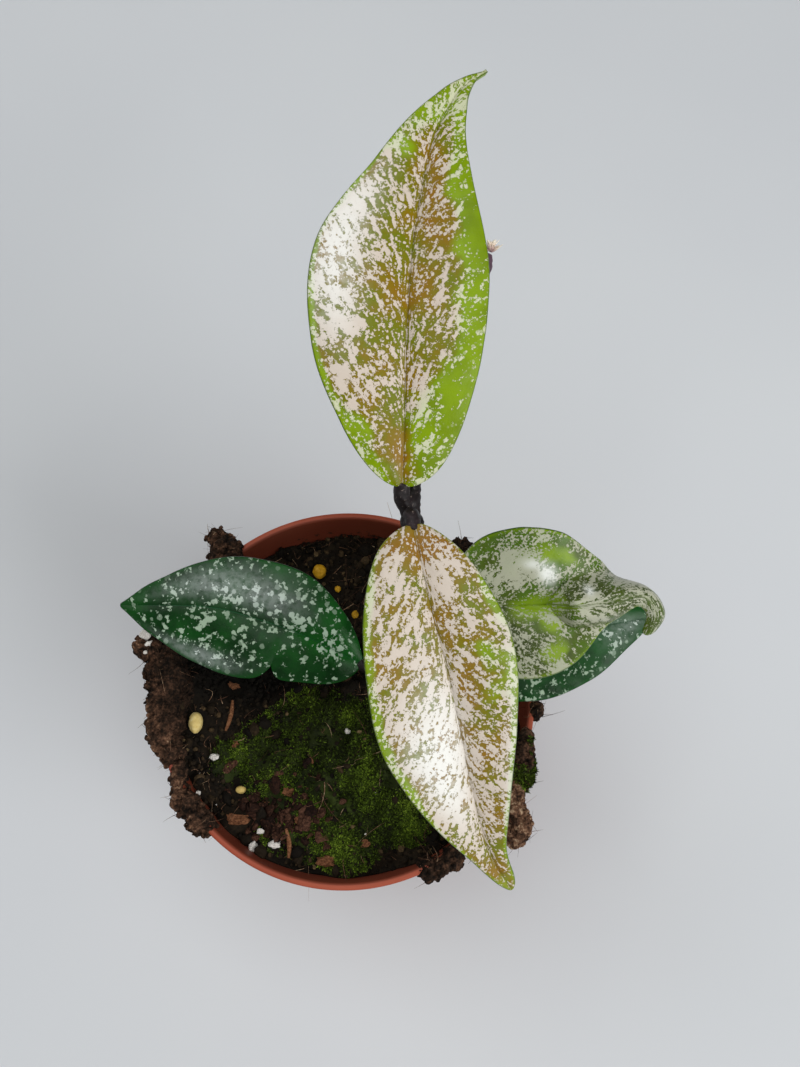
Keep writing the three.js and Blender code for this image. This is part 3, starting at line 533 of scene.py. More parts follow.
# Looks of the leaves' upper faces. The white of each is the colour of its painted sheen and highlights, and
# the film is how strongly a pale veil of painted sheen covers the ground
looks = {
    "pale": {
        "streak": (3.1, 2), "cloud": 6.5, "weights": (0.48, 0.3), "grain": 0.8, "grainShare": 0.62,
        "calm": 0.25, "edge": 0.006, "seam": 0.05, "outline": 0.35, "detail": (3, 0.5), "ribStreaks": 0.5,
        "cell": (1.2, 0.07), "dots": (0.9, 0.48), "holes": (0.9, 0.36), "gloss": 0.3,
        "warmAt": (0.42, 0.6, 0.8), "warm": ("#6C7200", "#806A00", "#8C6204"),
        "fresh": ("#6C8400", "#7E9A00"), "film": 0.5, "silver": "#CDBFB0", "freshSilver": "#C8D2A8",
        "white": "#F0F0EA", "rib": "#BDB893", "ribShade": "#463C10", "line": "#46600C", "under": "#8EA352",
        "ribEnd": 1,
    },
    "green": {
        "streak": (3.4, 1.7), "cloud": 7, "weights": (0.42, 0.42), "grain": 0.6, "grainShare": 0.7,
        "calm": 0.3, "edge": 0.012, "seam": 0.05, "outline": 0.35, "detail": (3, 0.55), "ribStreaks": 0.6,
        "cell": (1, 0.08), "dots": (1, 0.42), "holes": (1, 0.4), "gloss": 0.24, "warmAt": (0.42, 0.54, 0.66),
        "warm": ("#48660A", "#46580A", "#37440A"), "fresh": ("#6C8A00", "#829E00"), "film": 0.95,
        "silver": "#ADAE97", "freshSilver": "#AAB292", "white": "#F2F4EE", "rib": "#869A2C",
        "ribShade": "#3E5E12", "line": "#34540E", "under": "#86A07A", "ribEnd": 0.5,
    },
    "dark": {
        "spotSize": 1.7, "cloud": 6, "weights": (0.4, 0.34), "grain": 0.9, "grainShare": 0.5, "calm": 0.5,
        "edge": 0.02, "seam": 0.02, "outline": 0.2, "detail": (3, 0.5), "ribStreaks": 0.1, "cell": (0.8, 0.3),
        "dots": (1.9, 0.46), "holes": (1.5, 0.4), "gloss": 0.27, "warmAt": (0.4, 0.52, 0.64),
        "warm": ("#052C09", "#08380D", "#0E4411"), "fresh": ("#0A420E", "#0F5014"), "film": 0.34,
        "silver": "#9CB298", "freshSilver": "#A4BAA4", "white": "#D8E2DC", "rib": "#1C5430",
        "ribShade": "#06240E", "line": "#06200C", "under": "#4E7A4E", "ribEnd": 1,
    },
}


# Points and directions on a midrib at shares of its length, by summing the chords of a fine sampling
def midline(points, share):
    fine = np.linspace(0, 1, 401)
    chords = np.linalg.norm(np.diff(smoothCurve(points, fine), axis=0), axis=1)
    lengths = np.concatenate([[0], np.cumsum(chords)])
    k = np.interp(share * lengths[-1], lengths, fine)
    ahead, behind = (smoothCurve(points, np.clip(k + step, 0, 1)) for step in (0.001, -0.001))
    return smoothCurve(points, k), unit(ahead - behind), lengths[-1]


# Half width: its list is spread closer together at both ends, less the notch, and never quite nothing
def halfWidths(leaf, share, across):
    q = np.arccos(1 - 2 * np.clip(share, 0, 1)) / np.pi
    left, right = (smoothCurve(leaf[side], q) for side in ("left", "right"))
    notch = leaf.get("notch", {"at": 0, "depth": 0, "width": 1})
    cut = notch["depth"] * np.exp(-((np.abs(share - notch["at"]) / notch["width"]) ** 1.2))
    width = np.where(across < 0, left - cut[:, None], right)
    return np.maximum(np.maximum(width, 1.6 * (1 - share[:, None]) ** 8), 0.45)


# Nose: the blade's end is swollen upward in a blunt snout over the midrib that leans to the front
def noseLift(nose, share, distance):
    offset = distance - nose["middle"]
    back = offset < 0
    widened = np.sqrt(smoothStep(nose["start"], nose["start"] + nose["widen"], share)) + 0.04
    out = np.minimum(1, np.abs(offset) / (np.where(back, nose["back"], nose["front"]) * widened[:, None]))
    dome = (1 - out ** np.where(back, nose["roundBack"], nose["roundFront"])) ** 2
    risen = smoothStep(nose["start"], nose["start"] + nose["rise"], share)
    height = nose["height"] * (risen * (1 - nose["sink"] * smoothStep(0.7, 1, share)))[:, None] * dome
    leaning = 1 - smoothStep(*nose["upright"], share)[:, None]
    heading = np.stack([nose["lean"][0] * leaning, nose["lean"][1] * leaning, 1 + 0 * leaning], -1)
    return height[..., None] * heading


# Middle of the blade: out from the midrib the section climbs at a slope that runs from fold to edge, and the
# steps are added up
def bladeSheet(leaf, share, across):
    point, along, length = midline(leaf["midrib"], share)
    direction = midline(leaf["guide"], share)[1] if "guide" in leaf else along
    up = np.array(leaf["up"], float)
    up = unit(up - (direction @ up)[:, None] * direction)
    side = np.cross(direction, up)
    steps = 24
    k = np.abs(across)[:, None] * (np.arange(steps) + 0.5) / steps
    onLeft = (across < 0)[None, :]
    fold, edge = (
        np.where(onLeft, *(smoothCurve(leaf[kind + hand], share) for hand in ("Left", "Right")))
        for kind in ("fold", "edge")
    )
    slope = np.radians(fold[..., None] * (1 - k) + edge[..., None] * k)
    width = halfWidths(leaf, share, across)
    sideways = np.sign(across) * width * np.abs(across) * np.cos(slope).mean(-1)
    upwards = width * np.abs(across) * np.sin(slope).mean(-1)
    sheet = point[:, None] + sideways[..., None] * side[:, None] + upwards[..., None] * up[:, None]
    if "nose" in leaf:
        sheet = sheet + noseLift(leaf["nose"], share, width * across)
    return sheet, width, length


# Adds up soft round patches, each an amount that fades with the square of the distance
def patched(marks, share, across):
    total = marks[0] / 100 + np.zeros((len(share), len(across)))
    for patch in marks[1:]:
        shareAt, acrossAt, reachAlong, reachAcross, amount = (value / 100 for value in patch)
        away = ((share[:, None] - shareAt) / reachAlong) ** 2 + ((across[None] - acrossAt) / reachAcross) ** 2
        total = total + amount * np.exp(-away)
    return np.clip(total, 0, 1)


# Blade: the middle sheet with shallow waves, thickened to both sides, grooved above and ribbed below, and
# its margin rounded by the root of what is left of a quarter circle
def makeBlade(name, leaf):
    q = np.linspace(0, 1, blade["rows"])
    share = 0.45 * q + 0.55 * (1 - np.cos(np.pi * q)) / 2
    k = np.linspace(0, 1, blade["columns"])
    reach = 0.55 * k + 0.45 * (1 - np.cos(np.pi * k)) / 2
    across = np.concatenate([-reach[:0:-1], reach])
    sheet, width, length = bladeSheet(leaf, share, across)
    fromRib = width * np.abs(across)
    fromEdge = width * (1 - np.abs(across))
    x = share[:, None] * length + 0 * fromRib
    signed = fromRib * np.sign(across)
    flat = np.stack([x, signed, np.full_like(x, leaf["seed"] * 9.1)], -1)

    # Upward normals of a grid of points, square to its rows and columns
    def normalsOf(grid):
        return unit(np.cross(np.gradient(grid, axis=1), np.gradient(grid, axis=0)))

    ends = smoothStep(0, 0.1, share) * smoothStep(1, 0.9, share)
    wave = 0.45 * roughNoise(flat, 13.0, 2, leaf["seed"]) * smoothStep(0.5, 5, fromRib) * ends[:, None]
    ripple = 0.35 * roughNoise(flat * [1, 0.2, 1], 8.0, 1, leaf["seed"] + 1)
    wave = wave + ripple * smoothStep(5, 0, fromEdge) * ends[:, None]
    sheet = sheet + wave[..., None] * normalsOf(sheet)
    normal = normalsOf(sheet)
    fromEnd = np.minimum(share, 1 - share) * length
    rounding, endRounding = (
        np.sqrt(1 - np.clip(1 - distance / blade["round"], 0, 1) ** 2) for distance in (fromEdge, fromEnd))
    rounding = rounding * np.maximum(endRounding, 0.3)[:, None]
    thinned = 1 - leaf.get("thinning", 0) * smoothStep(0.6, 1, share)[:, None]
    thickness = (blade["middle"] + (blade["margin"] - blade["middle"]) * across**2) * thinned * rounding
    groove = 0.6 * np.exp(-((fromRib / 1.3) ** 2)) + 0.3 * np.exp(-fromRib / 0.45)
    groove = blade["groove"] * groove * rounding
    rib = blade["rib"] * np.exp(-((fromRib / 1.6) ** 2)) * (1 - share[:, None]) * rounding
    upper = sheet + (thickness / 2 - groove)[..., None] * normal
    lower = sheet - (thickness / 2 + rib)[..., None] * normal
    around = np.concatenate([upper, lower[:, -2:0:-1]], axis=1)
    rows, loop = around.shape[:2]
    points = np.vstack([around.reshape(-1, 3), [around[0].mean(0), around[-1].mean(0)]])

    # Values of the sheet's grid laid on the points of both faces and of the two ends
    def onPoints(*layers):
        stack = np.stack([np.broadcast_to(layer, x.shape) for layer in layers], -1)
        full = np.concatenate([stack, stack[:, -2:0:-1]], axis=1).reshape(-1, len(layers))
        return np.vstack([full, full[:1], full[-1:]])

    leave = 0.9 * fromRib + leaf.get("veinPull", 5) * (1 - np.exp(-fromRib / 1.5))
    upperSide = np.concatenate([np.ones(x.shape), np.zeros((rows, loop - len(across)))], axis=1).ravel()
    values = {
        "veinFlow": onPoints(np.hypot(fromRib, leave), x - leave, 6 * np.sign(across) + leaf["seed"]),
        "bladePlace": onPoints(fromRib, fromEdge, share[:, None]),
        "zone": onPoints(*(patched(leaf[kind], share, across) for kind in ("silver", "green", "white"))),
        "warmth": onPoints(patched(leaf["warmth"], share, across)).ravel(),
        "upperSide": np.concatenate([upperSide, [1, 1]]),
    }
    return meshFrom(name, points, [gridFaces(rows, loop, wrap=True), endFans(rows, loop)], values)


# Living hoya leaf: thick, waxy skin over olive and green, with crisp silver flecks where air lies under the
# skin. The flecks are torn noise cut at a level, drawn out along the side veins. The wax gives a soft shine.
# Painted sheen and highlights: where the third zone value lies, the flecks turn white and a pale veil covers
# the ground
def leafMaterial(name, look):
    material, add = startMaterial(name)
    place = add("TexCoord", out="Object")
    flow = add("Attribute", attribute_name="veinFlow", out="Vector")
    zone = add("Attribute", attribute_name="zone", out="Vector")
    # The zone holds silver, fresh green, and painted sheen and highlight
    wanted, greenWanted, white = add("SeparateXYZ", zone).node.outputs
    spotPlace = add("Attribute", attribute_name="bladePlace", out="Vector")
    fromRib, fromEdge, share = add("SeparateXYZ", spotPlace).node.outputs
    if "spotSize" in look:
        drawn = add("VectorMath MULTIPLY", place, (1 / (look["spotSize"] * mm),) * 3)
    else:
        drawn = add("VectorMath MULTIPLY", flow, (1 / look["streak"][0], 1 / look["streak"][1], 1))
    islands = add("TexNoise", drawn, 1, *look["detail"], Distortion=0.3)
    cloud = add("TexNoise", place, 1 / (look["cloud"] * mm), 3, 0.55)
    shaken = add("VectorMath MULTIPLY_ADD", add("TexNoise", drawn, 1.1, 3, out="Color"), (1.3, 1.3, 0), drawn)
    cells = add("Math SUBTRACT", 0.45, add("TexVoronoi", shaken, look["cell"][0]))
    field = add("Math MULTIPLY_ADD", cells, look["cell"][1], 0.5 - sum(look["weights"]) / 2)
    for layer, weight in zip((islands, cloud), look["weights"]):
        field = add("Math MULTIPLY_ADD", layer, weight, field)
    limit = add("MapRange", wanted, 0, 1, 0.62, 0.38)
    solid = add("MapRange", add("Math SUBTRACT", field, limit), 0.015, 0.05, 1, look["calm"])
    # Grain stays strong inside the painted sheen
    solid = add("Math MAXIMUM", solid, add("Math MULTIPLY", white, 1.1))
    grain = add("Math SUBTRACT", add("TexNoise", place, 1 / (look["grain"] * mm), 3, 0.62), 0.5)
    field = add("Math MULTIPLY_ADD", add("Math MULTIPLY", grain, solid), look["grainShare"], field)
    seam = add("Math ABSOLUTE", add("Math SUBTRACT", add("TexNoise", place, 1 / (1.5 * mm), 3, 0.6), 0.5))
    field = add("Math MULTIPLY_ADD", add("MapRange", seam, 0.006, 0.016, 1, 0), -look["seam"], field)
    besideRib = add("VectorMath MULTIPLY_ADD", spotPlace, (2.4, 0, 13), add("SeparateXYZ", flow, out="Z"))
    ribTear = add("Math SUBTRACT", add("TexNoise", besideRib, 1, 4, 0.6), field)
    nearRib = add("MapRange", fromRib, 0.3, 3.2, look["ribStreaks"], 0)
    field = add("Math MULTIPLY_ADD", ribTear, nearRib, field)
    above = add("Math SUBTRACT", field, limit)
    torn = add("Math MULTIPLY_ADD", above, 0.5 / look["edge"], 0.5, use_clamp=True)
    wander = add("TexNoise", place, 1 / (0.9 * mm), 2, out="Color")
    warped = add("VectorMath MULTIPLY_ADD", wander, (0.6 * mm,) * 3, place)

    # Round spots of mixed sizes, each a ball about the middle of a random cell
    def spots(size, reach, sparing):
        distance = add("TexVoronoi", warped, 1 / (size * mm))
        random = add("MapRange", add("SeparateColor", distance.node.outputs["Color"]), sparing, 1)
        radius = add("Math MULTIPLY", add("Math MULTIPLY", random, random), reach)
        return add("Math MULTIPLY_ADD", add("Math SUBTRACT", radius, distance), 14, 0.5, use_clamp=True)

    torn = add("Math MULTIPLY", torn, add("Math SUBTRACT", 1, spots(*look["holes"], 0.35)))
    dots = add("Math MULTIPLY", spots(*look["dots"], 0.2), add("MapRange", wanted, 0.1, 0.35))
    flecks = add("Math MAXIMUM", torn, dots)
    patchNoise = add("TexNoise", place, 1 / (9 * mm), 4, 0.6)
    # Warmth picks the ground colour, and on the curled leaf it also carries painted shade
    warmth = add("Math SUBTRACT", add("Attribute", attribute_name="warmth", out="Fac"), 0.5)
    warmth = add("Math MULTIPLY_ADD", warmth, 0.5, patchNoise)
    warm = add("ValToRGB", warmth, stops=zip(look["warmAt"], look["warm"]))
    freshNoise = add("TexNoise", place, 1 / (7 * mm), 2)
    fresh = add("Mix RGBA", add("MapRange", freshNoise, 0.35, 0.65), *look["fresh"])
    greenShare = add("Math MULTIPLY_ADD", add("Math SUBTRACT", freshNoise, 0.5), 0.9, greenWanted)
    greenShare = add("MapRange", greenShare, 0.3, 0.6)
    silver = add("Mix RGBA", add("Math MULTIPLY", greenShare, 0.7), look["silver"], look["freshSilver"])
    # Painted sheen: the silver flecks turn white where it lies
    silver = add("Mix RGBA", add("Math MULTIPLY", white, 0.8), silver, look["white"])
    outline = add("Math MULTIPLY_ADD", above, 1 / 0.022, 1, use_clamp=True)
    outline = add("Math MULTIPLY", outline, look["outline"])
    ground = add("Mix RGBA", outline, add("Mix RGBA", greenShare, warm, fresh), look["ribShade"])
    # Painted sheen: a pale veil over the whole skin where it lies, broken by noise
    film = add("TexNoise", place, 1 / (1.6 * mm), 4, 0.6)
    film = add("Math MULTIPLY", white, add("MapRange", film, 0.3, 0.55, 0.25 * look["film"], look["film"]))
    skin = add("Mix RGBA", film, add("Mix RGBA", flecks, ground, silver), look["white"])
    ribShade = add("MapRange", add("TexNoise", drawn, 1 / 0.35, 3), 0.42, 0.56, 0, 0.3)
    ribShade = add("Math MULTIPLY", add("MapRange", fromRib, 0.9, 0.35), ribShade)
    skin = add("Mix RGBA", ribShade, skin, look["ribShade"])
    ribLine = add("MapRange", share, look["ribEnd"], look["ribEnd"] - 0.2, 0.1, 0.7)
    ribLine = add("Math MULTIPLY", add("MapRange", fromRib, 0.32, 0.12), ribLine)
    skin = add("Mix RGBA", ribLine, skin, look["rib"])
    rim = add("MapRange", flecks, 0, 1, 0.7, 0.105)
    skin = add("Mix RGBA", add("Math MULTIPLY", add("MapRange", fromEdge, 1.2, 0.3), rim), skin, fresh)
    skin = add("Mix RGBA", add("MapRange", fromEdge, 0.4, 0.12, 0, 0.8), skin, look["line"])
    skin = add("Mix RGBA", add("Attribute", attribute_name="upperSide", out="Fac"), look["under"], skin)
    veins = add("TexWave", flow, 0.05, 1.2, 2, bands_direction="Y", out="Fac")
    relief = add("Math MULTIPLY_ADD", islands, 1.2, add("TexNoise", place, 1 / (0.45 * mm), 3, 0.6))
    relief = add("Math MULTIPLY_ADD", veins, 1.2, add("Math MULTIPLY_ADD", flecks, 0.9, relief))
    shine = add("MapRange", patchNoise, 0.35, 0.65, look["gloss"], look["gloss"] + 0.1)
    shine = add("Math MULTIPLY_ADD", flecks, 0.07, shine)
    return endMaterial(material, add, skin, shine, 0.17, 0.7, 0.09 * mm, relief)


leafMaterials = {kind: leafMaterial(f"waxy_leaf_{kind}", look) for kind, look in looks.items()}
for name, leaf in leaves.items():
    addPiece(makeBlade(name, leaf), leafMaterials[leaf["material"]], leaf["slot"], [leaf["node"]])


# Peat: the surface of the solids, higher at the front and heaped at the left and right rims, made crumbly.
# Its crumbs are sets of (roundness, count, sizes, share kept on moss). Each heap has its side, height, where
# it starts and ends across the pot, its middle along the rim, and how far off it keeps and loses its height
peat = {
    "level": 83.2, "fall": 0.045, "gap": 0.15, "base": 2.1, "rings": 150, "segments": 420, "seed": 21,
    "crumbs": ((1, 5200, (0.3, 0.85), 0.12), (2, 260, (0.9, 2.0), 0.04)), "crumbReach": 49,
    "fibres": 900, "fibreReach": 48, "fibreLength": (1.2, 6), "fibreThickness": (0.05, 0.15),
    "heaps": ((-1, 7, 30, 50, 0, 12, 32), (1, 5, 34, 48, -22, 8, 18)),
}
grainKinds = ("yellow_prill", "cream_prill", "perlite", "bark_chip")
grainBoxes = [np.array(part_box(node)) / mm for node in sorted(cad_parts) if node.startswith(grainKinds)]


# How near a place is to the middle of a grain: 1 on its spot, falling off past its half width
def nearGrain(x, y):
    away = [
        np.hypot(x - box[:, 0].mean(), y - box[:, 1].mean()) / (0.5 * np.ptp(box[:, :2], 0).max() + 1)
        for box in grainBoxes
    ]
    return np.exp(-np.min(away, axis=0) ** 2)


# Noise over the ground, at one height
def groundNoise(x, y, size, octaves, seed):
    return roughNoise(np.stack([x, y, 0 * x], -1), size, octaves, seed)


# Height of the peat as in the solids: a slope to the front, the heaps, and slow waves, added up
def soilTop(x, y):
    top = peat["level"] - peat["fall"] * y
    for side, height, start, end, middle, near, far in peat["heaps"]:
        beside = 1 - smoothStep(near, far, np.abs(y - middle))
        top = top + height * smoothStep(start, end, side * x) * beside
    lumps = 0.9 * np.sin(0.31 * x + 1.3) * np.cos(0.27 * y - 0.4)
    return top + lumps + 0.6 * np.sin(0.42 * x - 0.36 * y + 2) + 0.4 * np.cos(0.5 * x + 0.62 * y)


# The crumbly surface adds noise in steps of about 7, 3 and 1 mm, steep where crumbs meet
def peatTop(x, y):
    clods = np.abs(groundNoise(x, y, 6.5, 2, peat["seed"]))
    rough = 1.3 * (0.35 - clods) + 0.45 * groundNoise(x, y, 1.8, 3, peat["seed"] + 1)
    return soilTop(x, y) + np.where(rough > 0, 1 - nearGrain(x, y), 1) * rough - 0.5 * nearGrain(x, y)


# Painted shadow of the left leaf on the peat: 1 under its front edge, falling off past it
def paintedLeafShadow(x, y):
    return np.exp(-((((x + 30) / 22) ** 2 + ((y - 9) / 11) ** 2) ** 2))


# Edge of the peat: the pot's inner radius at the peat's height there, less a small gap
def peatRadius(angle):
    guess = potInnerRadius(peat["level"])
    return potInnerRadius(soilTop(guess * np.cos(angle), guess * np.sin(angle))) - peat["gap"]


# Moss: low mats with a ragged edge, as in the solids
mosses = {
    "mossMat": {"node": "moss_mat", "centre": (2, -22), "size": (31, 21), "height": 3.2, "shoots": 9500},
    "mossRight": {"node": "moss_patch_right", "centre": (44.5, -18), "size": (5.5, 8.5), "height": 3.4,
                  "shoots": 520},
    "mossLeft": {"node": "moss_patch_left", "centre": (-33, -18), "size": (5, 5.5), "height": 1.8,
                 "shoots": 160},
}
mossReach = 49.4


# Edge of a mat: a wavy oval, cut off where the line from its middle at this angle meets the pot's wall
def mossEdge(moss, angle):
    oval = 1 / np.hypot(np.cos(angle) / moss["size"][0], np.sin(angle) / moss["size"][1])
    along = moss["centre"][0] * np.cos(angle) + moss["centre"][1] * np.sin(angle)
    toWall = np.sqrt(along**2 + mossReach**2 - np.hypot(*moss["centre"]) ** 2) - along
    return np.minimum(oval * (1 + 0.09 * np.sin(3 * angle + 1) + 0.06 * np.sin(7 * angle)), toWall)


# Height of a mat: tufts and hollows over the peat, times the root of 1.05 less the square of how far out
def mossTop(moss, x, y):
    dx, dy = x - moss["centre"][0], y - moss["centre"][1]
    out = np.hypot(dx, dy) / mossEdge(moss, np.arctan2(dy, dx))
    tufts = 0.75 + 0.25 * np.sin(0.9 * x + 0.4 * y) * np.cos(0.8 * y - 0.3 * x)
    hollows = 0.35 * groundNoise(x, y, 5.0, 3, 31)
    return soilTop(x, y) + moss["height"] * (tufts + hollows) * np.sqrt(np.maximum(0, 1.05 - out * out))


# What lies on top at a place: moss where it grows, else peat
def groundTop(x, y):
    return np.max([peatTop(x, y), *(mossTop(moss, x, y) for moss in mosses.values())], axis=0)


# Crumbled material: colour from a value kept on the points, broken up by noise, dull and rough all over
def crumbMaterial(name, colours, mottle, roughness, coarse, strength):
    material, add = startMaterial(name)
    speck = add("TexNoise", add("TexCoord", out="Object"), 1 / (coarse * mm), 5, 0.65)
    share = add("MapRange", speck, 0.3, 0.7, -mottle, mottle)
    share = add("Math ADD", add("Attribute", attribute_name="tint", out="Fac"), share)
    tone = add("ValToRGB", share, stops=zip(np.linspace(0, 1, len(colours)), colours))
    return endMaterial(material, add, tone, roughness, 0.12, strength, 0.3 * mm, speck)


# Moist sphagnum peat: nearly black, brown where it is drier, with fibres. Dull, so it drinks the light. Under
# the left leaf the tint given to it is cut, as painted shadow
peatTones = "#0C0A07", "#17120C", "#292015", "#493A27", "#7E6A4A"
moistPeat = crumbMaterial("moist_peat", peatTones, 0.14, 0.88, 0.9, 0.8)
# Drier peat that hangs on the rim: redder and paler than the moist one
spillTones = "#120D09", "#2C1F16", "#4A3427", "#70513D", "#AC9377"
dryPeat = crumbMaterial("dry_peat", spillTones, 0.3, 0.92, 0.8, 1)
# Living moss: dark between the shoots, bright yellow green at their tips, with a soft dry surface
mossTones = "#12160A", "#27300D", "#3F5014", "#627A20", "#8CA038"
livingMoss = crumbMaterial("living_moss", mossTones, 0.07, 0.75, 0.7, 0.4)

points, quads, fans = discSolid(
    (0, 0), peatRadius, peatTop, lambda x, y: peat["base"] + 0 * x, peat["rings"], peat["segments"], 0.72)
# Painted shadow: the tint falls nearly to black under the left leaf
tint = (0.28 + 0.16 * roughNoise(points, 7.0, 3, 41)) * (1 - 0.9 * paintedLeafShadow(points[:, 0], points[:, 1]))
addPiece(meshFrom("peatSurface", points, [quads, fans], {"tint": tint}), moistPeat, "peat", ["soil"])
for name, moss in mosses.items():
    rings, segments = (70, 200) if moss["shoots"] > 1000 else (24, 70)
    points, quads, fans = discSolid(
        moss["centre"], lambda angle: mossEdge(moss, angle), lambda x, y: mossTop(moss, x, y),
        lambda x, y: soilTop(x, y) - 2, rings, segments)
    bed = meshFrom(name + "Bed", points, [quads, fans], {"tint": 0.2 + 0.12 * roughNoise(points, 3.0, 3, 43)})
    addPiece(bed, livingMoss, "moss", [moss["node"]])


# Random places in the pot, kept where a share that changes over the surface allows
def scattered(draw, count, reach, share):
    radius = reach * np.sqrt(draw.random(count))
    angle = 2 * np.pi * draw.random(count)
    x, y = radius * np.cos(angle), radius * np.sin(angle)
    keep = draw.random(count) < share(x, y)
    return x[keep], y[keep]


# True where moss stands more than a little over the peat
def mossCover(x, y):
    return np.max([mossTop(moss, x, y) - soilTop(x, y) for moss in mosses.values()], axis=0) > 0.4


# Crumbs: small dented balls half sunk in the peat, more of them off the moss
def makeCrumbs():
    draw = np.random.default_rng(peat["seed"])
    parts, tints = [], []
    for level, count, sizes, mossShare in peat["crumbs"]:
        x, y = scattered(draw, count, peat["crumbReach"], lambda x, y: (
            np.where(mossCover(x, y), mossShare, 1.0) * (nearGrain(x, y) < 0.4)))
        radius = draw.uniform(*sizes, len(x))
        places = np.column_stack([x, y, groundTop(x, y) + 0.25 * radius])
        parts.append(dentedBalls(draw, level, places, radius, (0.6, 1.25), 0.3, 51 + level))
        # Painted shadow: crumbs under the left leaf are darkened too
        tint = np.clip(draw.beta(1.6, 4.0, len(x)) * 1.1, 0, 1) * (1 - 0.9 * paintedLeafShadow(x, y))
        tints.append(np.repeat(tint, len(parts[-1][0]) // len(x)))
    points, faceSets = joined(parts)
    return meshFrom("peatCrumbs", points, faceSets, {"tint": np.concatenate(tints)}, smooth=False)


addPiece(makeCrumbs(), moistPeat, "peat")


# Fibres: thin tubes that start at a place, bow by their own noise and end near the surface again
fibre = {"steps": 9, "sides": 4, "bend": 0.6, "curl": 0.55, "thinning": 0.75}


# Each path is heading k plus bend k squared plus curl k cubed, times its length, and droops by k squared
def makeFibres(name, starts, headings, lengths, thickness, droop, seed, tintRange=(0.35, 0.95)):
    draw = np.random.default_rng(seed)
    count = len(starts)
    k = np.linspace(0, 1, fibre["steps"])[None, :, None]
    bend, curl = (draw.normal(size=(count, 1, 3)) * fibre[way] for way in ("bend", "curl"))
    paths = starts[:, None] + lengths[:, None, None] * (headings[:, None] * k + bend * k**2 + curl * k**3)
    paths[..., 2] -= (droop * lengths)[:, None] * k[..., 0] ** 2
    radii = thickness[:, None] * (1 - fibre["thinning"] * k[..., 0] ** 1.5)
    points, quads, fans = tubesAlong(paths, radii, fibre["sides"])
    tint = np.repeat(draw.uniform(*tintRange, count), len(points) // count)
    return meshFrom(name, points, [quads, fans], {"tint": tint})


draw = np.random.default_rng(61)
# Fewer pale fibres in the painted shadow of the left leaf, so it stays dark
x, y = scattered(draw, peat["fibres"], peat["fibreReach"], lambda x, y: (
    np.where(mossCover(x, y), 0.25, 1.0) * (1 - paintedLeafShadow(x, y)) * (nearGrain(x, y) < 0.3)))
angle = 2 * np.pi * draw.random(len(x))
headings = np.column_stack([np.cos(angle), np.sin(angle), draw.uniform(0.05, 0.45, len(x))])
lengths, thickness = (draw.uniform(*peat[kind], len(x)) for kind in ("fibreLength", "fibreThickness"))
starts = np.column_stack([x, y, groundTop(x, y)])
addPiece(makeFibres("peatFibres", starts, headings, lengths, thickness, 0.4, 62), dryPeat, "peat")


# Moss shoots: each is a few slim spear-shaped leaves round a leaning middle. A leaf is a closed sliver with
# four faces: its foot, two shoulders set back a little, and its tip. Light is how bright a shoot is, with how
# much lush growth and chance change that, and shades scale the brightness of a leaf's four corners: painted
# shade at its foot and painted light at its tip
shoot = {
    "leaves": 7, "spread": (0.35, 1.1), "lean": 0.35, "size": (0.8, 1.7), "leafSize": (0.7, 1.2),
    "width": 0.16, "shoulders": 0.4, "setBack": 0.5, "light": (0.38, 0.28, 0.17),
    "shades": (0.5, 0.8, 0.8, 1.25),
}


# Roots at random places of a mat, fewer where the growth is poor, and fewest at one bare place
def makeMossShoots(name, moss, seed):
    draw = np.random.default_rng(seed)
    angle = 2 * np.pi * draw.random(moss["shoots"])
    share = np.sqrt(draw.random(moss["shoots"]))
    edge = mossEdge(moss, angle) * 1.15
    x = moss["centre"][0] + edge * share * np.cos(angle)
    y = moss["centre"][1] + edge * share * np.sin(angle)
    lush = groundNoise(x, y, 6.0, 3, 71)
    bare = np.exp(-(((x + 20) / 10) ** 2 + ((y + 34) / 9) ** 2))
    keep = (np.hypot(x, y) < mossReach) & (lush - 2.2 * bare > draw.uniform(-1.2, 0.05, len(x)) - 0.1)
    x, y = x[keep], y[keep]
    foot = np.maximum(mossTop(moss, x, y), peatTop(x, y)) - 0.35
    return shootsOn(name, np.column_stack([x, y, foot]), lush[keep], draw)


# Leaves of each shoot: equal turns round it, spread and leaning at random, their corners on their own axes
def shootsOn(name, roots, lush, draw):
    count, leafCount = len(roots), shoot["leaves"]
    turn = 2 * np.pi * (np.arange(leafCount) / leafCount)[None] + 2 * np.pi * draw.random((count, 1))
    spread = draw.uniform(*shoot["spread"], (count, leafCount))
    heading = np.stack([np.cos(turn) * spread, np.sin(turn) * spread, np.ones_like(turn)], -1)
    heading = unit(heading + shoot["lean"] * draw.normal(size=(count, 1, 3)))
    size = draw.uniform(*shoot["size"], (count, 1)) * draw.uniform(*shoot["leafSize"], (count, leafCount))
    side = unit(np.cross(heading, [0.0, 0.0, 1.0] + 0 * heading))
    base = roots[:, None] + 0 * heading
    length, width = size[..., None], shoot["width"] * size[..., None]
    middle = base + shoot["shoulders"] * length * heading
    shoulders = middle + shoot["setBack"] * width * np.cross(side, heading)
    slivers = np.stack([base, shoulders + width * side, shoulders - width * side, base + length * heading], 2)
    faces = np.array([[0, 1, 2], [3, 2, 1], [0, 2, 3], [0, 3, 1]])
    shift = np.arange(count * leafCount)[:, None, None] * slivers.shape[2]
    light, lushLight, chance = shoot["light"]
    lit = np.clip(light + lushLight * lush[:, None] + chance * draw.normal(size=(count, leafCount)), 0.05, 1)
    faces = (faces[None] + shift).reshape(-1, 3)
    # Painted shade and light: each leaf darkest at its foot and brightest at its tip
    tint = (lit[..., None] * shoot["shades"]).ravel()
    return meshFrom(name, slivers.reshape(-1, 3), [faces], {"tint": tint}, smooth=False)


for index, (name, moss) in enumerate(mosses.items()):
    addPiece(makeMossShoots(name + "Shoots", moss, 81 + index), livingMoss, "moss")


